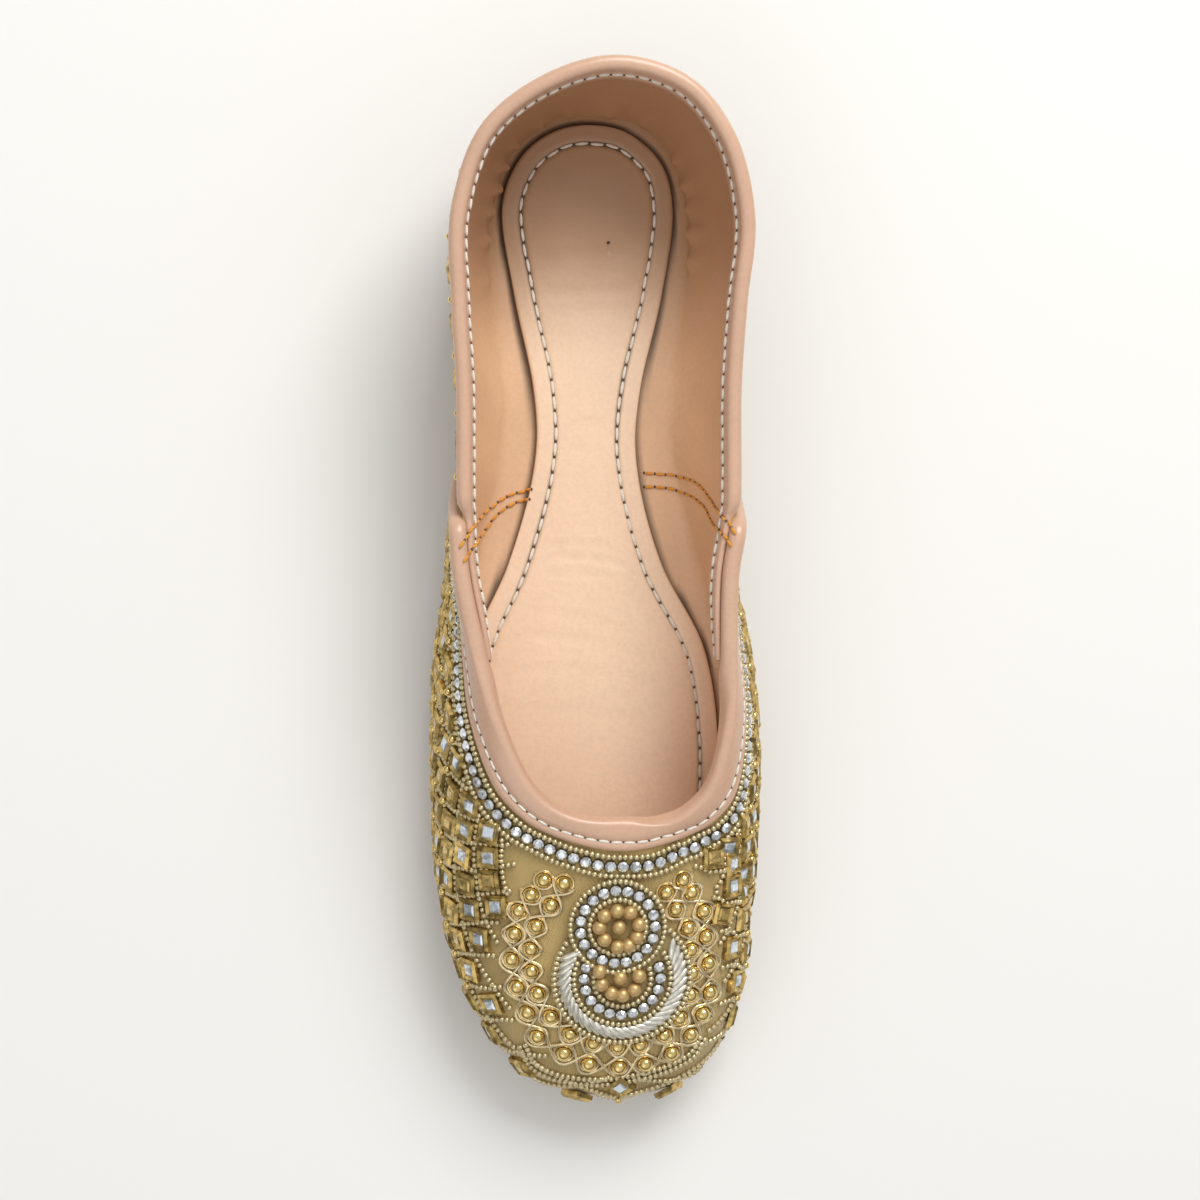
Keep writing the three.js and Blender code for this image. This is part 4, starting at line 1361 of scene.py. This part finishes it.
def stitch_run(line, normals, pitch, radius):
    """Stitches along a line, each dipping into its holes, and dark flat marks of painted shade in the holes
    between them.
    """
    bead = model(bead_shape, 8, 6)
    points, ways, ups = resample(line, normals, pitch)
    swing = 0.1 * np.sin(np.arange(len(points)) * 2.3)[:, None] * np.cross(ways, ups)
    thread_part = copies(bead, points + swing, ways, ups, (pitch * 0.46, radius, radius * 0.8))
    spots, ways, ups = resample(line, normals, pitch, 0.5)
    # Painted shade: a dark flat mark sunk into each hole
    hole_part = copies(bead, spots - ups * 0.12, ways, ups, (pitch * 0.11, radius * 0.95, 0.2))
    return thread_part, hole_part


# The vamp seam's rows of stitches, in the picture units of the camera, from the binding to the insole
SEAM_ARCS = [
    [(668, 541), (683, 518), (699, 500), (719, 487), (741, 481)],
    [(672, 555), (688, 531), (704, 509), (721, 496), (739, 491)],
    [(948, 527), (939, 514), (929, 502), (919, 487), (907, 474), (886, 467), (854, 464)],
    [(944, 539), (935, 527), (924, 515), (915, 498), (899, 486), (875, 479), (854, 478)],
]
PIN_HOLE = [(818.0, 233.0)]  # the insole's pin hole, in the same units


def piece_tree(*names):
    """One search tree of finished pieces, in millimetres."""
    points, faces = gather_parts([
        (vertex_places(made), [tuple(p.vertices) for p in made.data.polygons])
        for made in (bpy.data.objects[name] for name in names)
    ])
    return BVHTree.FromPolygons(points.tolist(), faces)


def seen_from_above(picture, tree):
    """Points and normals of the first face met from the camera's place through picture places."""
    eye = Vector((CAMERA_X, CAMERA_Y, CAMERA_HEIGHT))
    points, normals = [], []
    for x, y in picture:
        half = PICTURE_SIZE / 2
        way = Vector(((x - half) / PICTURE_SCALE, (half - y) / PICTURE_SCALE, -1)).normalized()
        hit, normal, _, _ = tree.ray_cast(eye, way)
        normal = normal if normal.dot(way) < 0 else -normal
        points.append(hit + normal * 0.25)
        normals.append(normal)
    return np.array(points), np.array(normals)


def stitches(white, orange, dark):
    """White stitches on both bindings and the insole, and the vamp seam's orange stitches."""
    runs = {"white": [], "orange": [], "holes": []}

    def sew(colour, line, normals, pitch, radius):
        stitched, holes = stitch_run(line, normals, pitch, radius)
        runs[colour].append(stitched)
        runs["holes"].append(holes)

    start, end = vamp_ends(0.0)
    collar = np.arange(distance_at(medial(QUARTER_END)) - ROUND + 1, distance_at(QUARTER_END) - 1, 0.6)
    line, normals = outer_line(collar, COLLAR_TROUGH + LAP_DROP * under_vamp(collar), 0 * collar - 3.0)
    sew("white", line, unit(np.array([0.0, 0.0, 1.0]) - normals), 3.1, 0.4)
    throat = np.arange(start + 5, end - 5, 0.6)
    line, normals = outer_line(throat, 0 * throat + THROAT_TROUGH, 0 * throat + WALL + 0.98)
    sew("white", line, normals, 3.1, 0.36)
    plan = plan_point("sock", np.linspace(0, ROUND, 900), -INSOLE_TROUGH)
    plan = plan[off_sock(plan) > INSOLE_TROUGH - 0.2]
    height = margin_top(plan[:, 1]) + CLEARANCE + INSOLE_THICKNESS
    line = np.column_stack([plan, height - 0.2])
    sew("white", line, np.tile([0.0, 0.0, 1.0], (len(line), 1)), 3.9, 0.42)
    inside = piece_tree("lining", "collar_roll", "throat_roll", "insole_leather")
    for listed in SEAM_ARCS:
        line, normals = seen_from_above(smooth_path(np.array(listed, float), 12), inside)
        sew("orange", line, normals, 2.7, 0.42)
    spot, up = seen_from_above(PIN_HOLE, inside)
    # Painted shade: a dark flat mark in the insole's pin hole
    runs["holes"].append(
        copies(model(bead_shape, 8, 6), spot - up * 0.2, up[:, [2, 0, 1]], up, (0.5, 0.4, 0.25))
    )
    cluster("white_stitches", runs["white"], ("thread", white), angle=80)
    cluster("orange_stitches", runs["orange"], ("thread", orange), angle=80)
    cluster("stitch_holes", runs["holes"], ("thread", dark), angle=80)


# Stage ----------------------------------------------------------------------------------------------


FLOOR_REACH = 1500.0


def build_floor(colour):
    """A plain floor just under the sole."""
    finish = Finish("pale_floor", Roughness=0.85)
    finish.set("Base Color", tuple(colour))
    x, y = np.meshgrid(*[np.linspace(-FLOOR_REACH, FLOOR_REACH, 3)] * 2)
    points = np.stack([x, y, 0 * x - 0.02], -1).reshape(-1, 3)
    made = make_object("floor", points, grid_faces(3, 3))
    made.data.materials.append(finish.material)


def area_light(name, place, size, power):
    """A square light that faces the shoe."""
    data = bpy.data.lights.new(name, "AREA")
    data.size, data.energy = size, power
    lamp = bpy.data.objects.new(name, data)
    lamp.location = place
    lamp.rotation_euler = (Vector((0, 0, 0.02)) - Vector(place)).to_track_quat("-Z", "Y").to_euler()
    bpy.context.scene.collection.objects.link(lamp)


def build_camera(place, aim):
    """A camera high over the shoe, with the toe at the bottom of the picture."""
    data = bpy.data.cameras.new("camera")
    data.sensor_fit = "HORIZONTAL"
    data.sensor_width = 36.0
    data.lens = data.sensor_width * PICTURE_SCALE / PICTURE_SIZE
    back = (Vector(place) - Vector(aim)).normalized()
    right = Vector((0, 1, 0)).cross(back).normalized()
    up = back.cross(right)
    turn = Matrix((right, up, back)).transposed()
    camera = bpy.data.objects.new("camera", data)
    camera.matrix_world = Matrix.Translation(place) @ turn.to_4x4()
    bpy.context.scene.collection.objects.link(camera)
    bpy.context.scene.camera = camera


def build_world(colour, strength):
    """Even light from above that falls off towards the horizon, which gives metal its dark edges."""
    world = bpy.data.worlds.new("studio")
    world.use_nodes = True
    tree = world.node_tree
    place = tree.nodes.new("ShaderNodeTexCoord")
    height = tree.nodes.new("ShaderNodeSeparateXYZ")
    tree.links.new(place.outputs["Generated"], height.inputs[0])
    falloff = tree.nodes.new("ShaderNodeMapRange")
    falloff.interpolation_type = "SMOOTHSTEP"
    for socket, value in zip(falloff.inputs[1:], (0.15, 0.75, 0.3 * strength, 1.22 * strength)):
        socket.default_value = value
    tree.links.new(height.outputs[2], falloff.inputs[0])
    back = tree.nodes["Background"]
    back.inputs[0].default_value = (*colour, 1)
    tree.links.new(falloff.outputs[0], back.inputs[1])
    bpy.context.scene.world = world


def colour_setting(name, description, colour):
    """A colour that a user may change, given as 0 to 255."""
    return bpy.props.FloatVectorProperty(
        name=name, description=description, subtype="COLOR", size=3, min=0, max=1, default=linear(colour)
    )


class MojariLeather(bpy.types.PropertyGroup):
    """Leathers, fabric and threads"""

    binding: colour_setting("Binding", "Rolled leather round the collar and the throat", (218, 176, 147))
    lining: colour_setting("Lining", "Leather inside the wall", (238, 195, 154))
    insole: colour_setting("Insole", "Leather under the foot", (251, 220, 188))
    sole: colour_setting("Sole", "Outsole leather", (176, 128, 88))
    heel: colour_setting("Heel", "Heel leather", (120, 80, 54))
    fabric: colour_setting("Fabric", "Ground fabric of the upper", (202, 174, 112))
    white_thread: colour_setting("White thread", "Thread of the edge stitches", (246, 240, 226))
    orange_thread: colour_setting("Orange thread", "Thread of the vamp seam", (232, 158, 52))


class MojariBeads(bpy.types.PropertyGroup):
    """Beadwork"""

    gold: colour_setting("Gold", "Domes, balls and frames", (242, 212, 140))
    seed: colour_setting("Seed beads", "Rows and lattice of seed beads", (234, 217, 172))
    pearl: colour_setting("Pearls", "Matt pearls of the medallion", (214, 180, 122))
    silver: colour_setting("Silver", "Wires and leaves", (248, 243, 228))
    stone: colour_setting("Stones", "Clear stones", (236, 240, 244))
    seed_size: bpy.props.FloatProperty(
        name="Seed size", description="Diameter of a seed bead", default=0.00135, min=0.0008, max=0.003,
        unit="LENGTH",
    )
    lattice_pitch: bpy.props.FloatProperty(
        name="Lattice pitch", description="Distance between lattice lines", default=0.0083, min=0.005,
        max=0.02, unit="LENGTH",
    )


class MojariStage(bpy.types.PropertyGroup):
    """Floor, light and camera"""

    floor: colour_setting("Floor", "Pale studio floor", (240, 238, 233))
    key_power: bpy.props.FloatProperty(
        name="Key light", description="Power of the main soft light", default=15.0, min=0, unit="POWER"
    )
    camera_place: bpy.props.FloatVectorProperty(
        name="Camera", description="Place of the camera", subtype="TRANSLATION",
        default=(CAMERA_X * MM, CAMERA_Y * MM, CAMERA_HEIGHT * MM),
    )


class MOJARI_OT_upper(bpy.types.Operator):
    """Add the fabric cover of the quarter and the vamp"""

    bl_idname = "mojari.upper"
    bl_label = "Upper"

    def execute(self, context):
        upper_cover(stitched_fabric("gold_fabric", context.scene.mojari_leather.fabric[:]))
        return {"FINISHED"}


class MOJARI_OT_lining(bpy.types.Operator):
    """Add the leather lining with its gathers"""

    bl_idname = "mojari.lining"
    bl_label = "Lining"

    def execute(self, context):
        colour = context.scene.mojari_leather.lining[:]
        # Painted shade: the lining is painted dark beside the insole's edge, and seat darkens the heel seat
        lining(leather("lining_leather", colour, 0.46, dark=0.84, gap_shaded=True, seat=0.55))
        return {"FINISHED"}


class MOJARI_OT_bindings(bpy.types.Operator):
    """Add the rolled bindings of collar and throat"""

    bl_idname = "mojari.bindings"
    bl_label = "Bindings"

    def execute(self, context):
        colour = context.scene.mojari_leather.binding[:]
        material = leather("binding_leather", colour, 0.34, 0.00005, 0.00008, 0.9, gloss=0.35)
        collar_roll(material)
        throat_roll(material)
        return {"FINISHED"}


class MOJARI_OT_soles(bpy.types.Operator):
    """Add the insole, the outsole and the heel"""

    bl_idname = "mojari.soles"
    bl_label = "Soles"

    def execute(self, context):
        colours = context.scene.mojari_leather
        # Painted shade: the insole's cut edge is painted dark for the gap beside it, and seat darkens the
        # heel seat
        sock = leather("insole_leather", colours.insole[:], 0.42, dark=0.93, gap_shaded=True, gloss=0.2, seat=0.85)
        insole_leather(sock)
        sole = leather("sole_leather", colours.sole[:], 0.5, dark=0.7)
        sole_pieces(sole, leather("heel_leather", colours.heel[:], 0.5))
        return {"FINISHED"}


class MOJARI_OT_stage(bpy.types.Operator):
    """Add the floor, the lights and the camera"""

    bl_idname = "mojari.stage"
    bl_label = "Stage"

    def execute(self, context):
        stage = context.scene.mojari_stage
        build_floor(stage.floor)
        area_light("key", (0.4, 0.95, 1.05), 0.8, stage.key_power)
        area_light("fill", (-0.5, -0.7, 1.0), 0.9, stage.key_power * 0.1)
        build_world((0.98, 0.985, 1.0), 0.58)
        build_camera(tuple(stage.camera_place), (0.0005, -0.001, 0.026))
        context.scene.view_settings.view_transform = "Standard"
        return {"FINISHED"}


class MOJARI_OT_beadwork(bpy.types.Operator):
    """Add the medallion, the dome chains, the edge rows and the mirror lattice"""

    bl_idname = "mojari.beadwork"
    bl_label = "Beadwork"

    def execute(self, context):
        beads = context.scene.mojari_beads
        seed = beads.seed_size / MM
        gold, silver, stone = beads.gold[:], beads.silver[:], beads.stone[:]
        metals = {
            "gold": ("polished_gold", gold, 0.18, 0.8),
            "seed": ("seed_gold", beads.seed[:], 0.3, 0.66, 1500.0, 0.7),
            "pearl": ("pearl_gold", beads.pearl[:], 0.38, 0.9, 700.0, 0.6),
            "silver": ("worn_silver", silver, 0.3, 0.72, 700.0, 0.75),
            "wire": ("wire_gold", tinted(silver, 1, 0.87, 0.62), 0.24, 0.75, 700.0, 0.85),
            "frame": ("frame_gold", tinted(gold, 0.82, 0.78, 0.68), 0.17, 0.36, 500.0, 0.85),
            "cup": ("cup_metal", shade(beads.seed[:], 0.5), 0.35, 0.5),
        }
        gems = {
            "stone": ("clear_stone", stone, 0.06),
            "mirror": ("mirror", tinted(stone, 0.93, 0.98, 1.02), 0.04),
            "cut": ("cut_glass", tinted(gold, 0.8, 0.76, 0.62), 0.08),
        }
        finishes = {key: ("bead_metal", metal(*values)) for key, values in metals.items()}
        finishes.update({key: ("mirror_glass", gem(*values)) for key, values in gems.items()})
        ground = shade(context.scene.mojari_leather.fabric[:], 0.7)
        medallion_pad(stitched_fabric("medallion_ground", ground))
        medallion_beads(finishes, seed)
        outer_chain = dome_chains(finishes, seed)
        band_rows(finishes, seed)
        lattice(finishes, seed, beads.lattice_pitch / MM, outer_chain)
        return {"FINISHED"}


class MOJARI_OT_stitches(bpy.types.Operator):
    """Add the stitches of bindings, insole and vamp seam"""

    bl_idname = "mojari.stitches"
    bl_label = "Stitches"

    def execute(self, context):
        colours = context.scene.mojari_leather
        # Near-black colour of the painted shade in the stitch and pin holes
        hole = Finish("painted_hole_shade", Roughness=0.9)
        hole.set("Base Color", (0.11, 0.07, 0.045))
        white = thread("white_thread", colours.white_thread[:])
        stitches(white, thread("orange_thread", colours.orange_thread[:]), hole.material)
        return {"FINISHED"}


OPERATORS = (
    MOJARI_OT_upper,
    MOJARI_OT_lining,
    MOJARI_OT_bindings,
    MOJARI_OT_soles,
    MOJARI_OT_beadwork,
    MOJARI_OT_stitches,
    MOJARI_OT_stage,
)


class MOJARI_PT_panel(bpy.types.Panel):
    """Lists the steps and their settings"""

    bl_idname = "MOJARI_PT_panel"
    bl_label = "Mojari"
    bl_space_type = "VIEW_3D"
    bl_region_type = "UI"
    bl_category = "Mojari"

    def draw(self, context):
        for name, group in GROUPS.items():
            box = self.layout.box()
            for key in group.__annotations__:
                box.prop(getattr(context.scene, name), key)
        for step in OPERATORS:
            self.layout.operator(step.bl_idname)


GROUPS = {"mojari_leather": MojariLeather, "mojari_beads": MojariBeads, "mojari_stage": MojariStage}
CLASSES = (*GROUPS.values(), *OPERATORS, MOJARI_PT_panel)


def register():
    for each in CLASSES:
        bpy.utils.register_class(each)
    for name, group in GROUPS.items():
        setattr(bpy.types.Scene, name, bpy.props.PointerProperty(type=group))


def unregister():
    for name in GROUPS:
        delattr(bpy.types.Scene, name)
    for each in reversed(CLASSES):
        bpy.utils.unregister_class(each)


def main():
    """Makes every piece in order."""
    register()
    for step in OPERATORS:
        group, name = step.bl_idname.split(".")
        getattr(getattr(bpy.ops, group), name)()


if __name__ == "__main__":
    main()
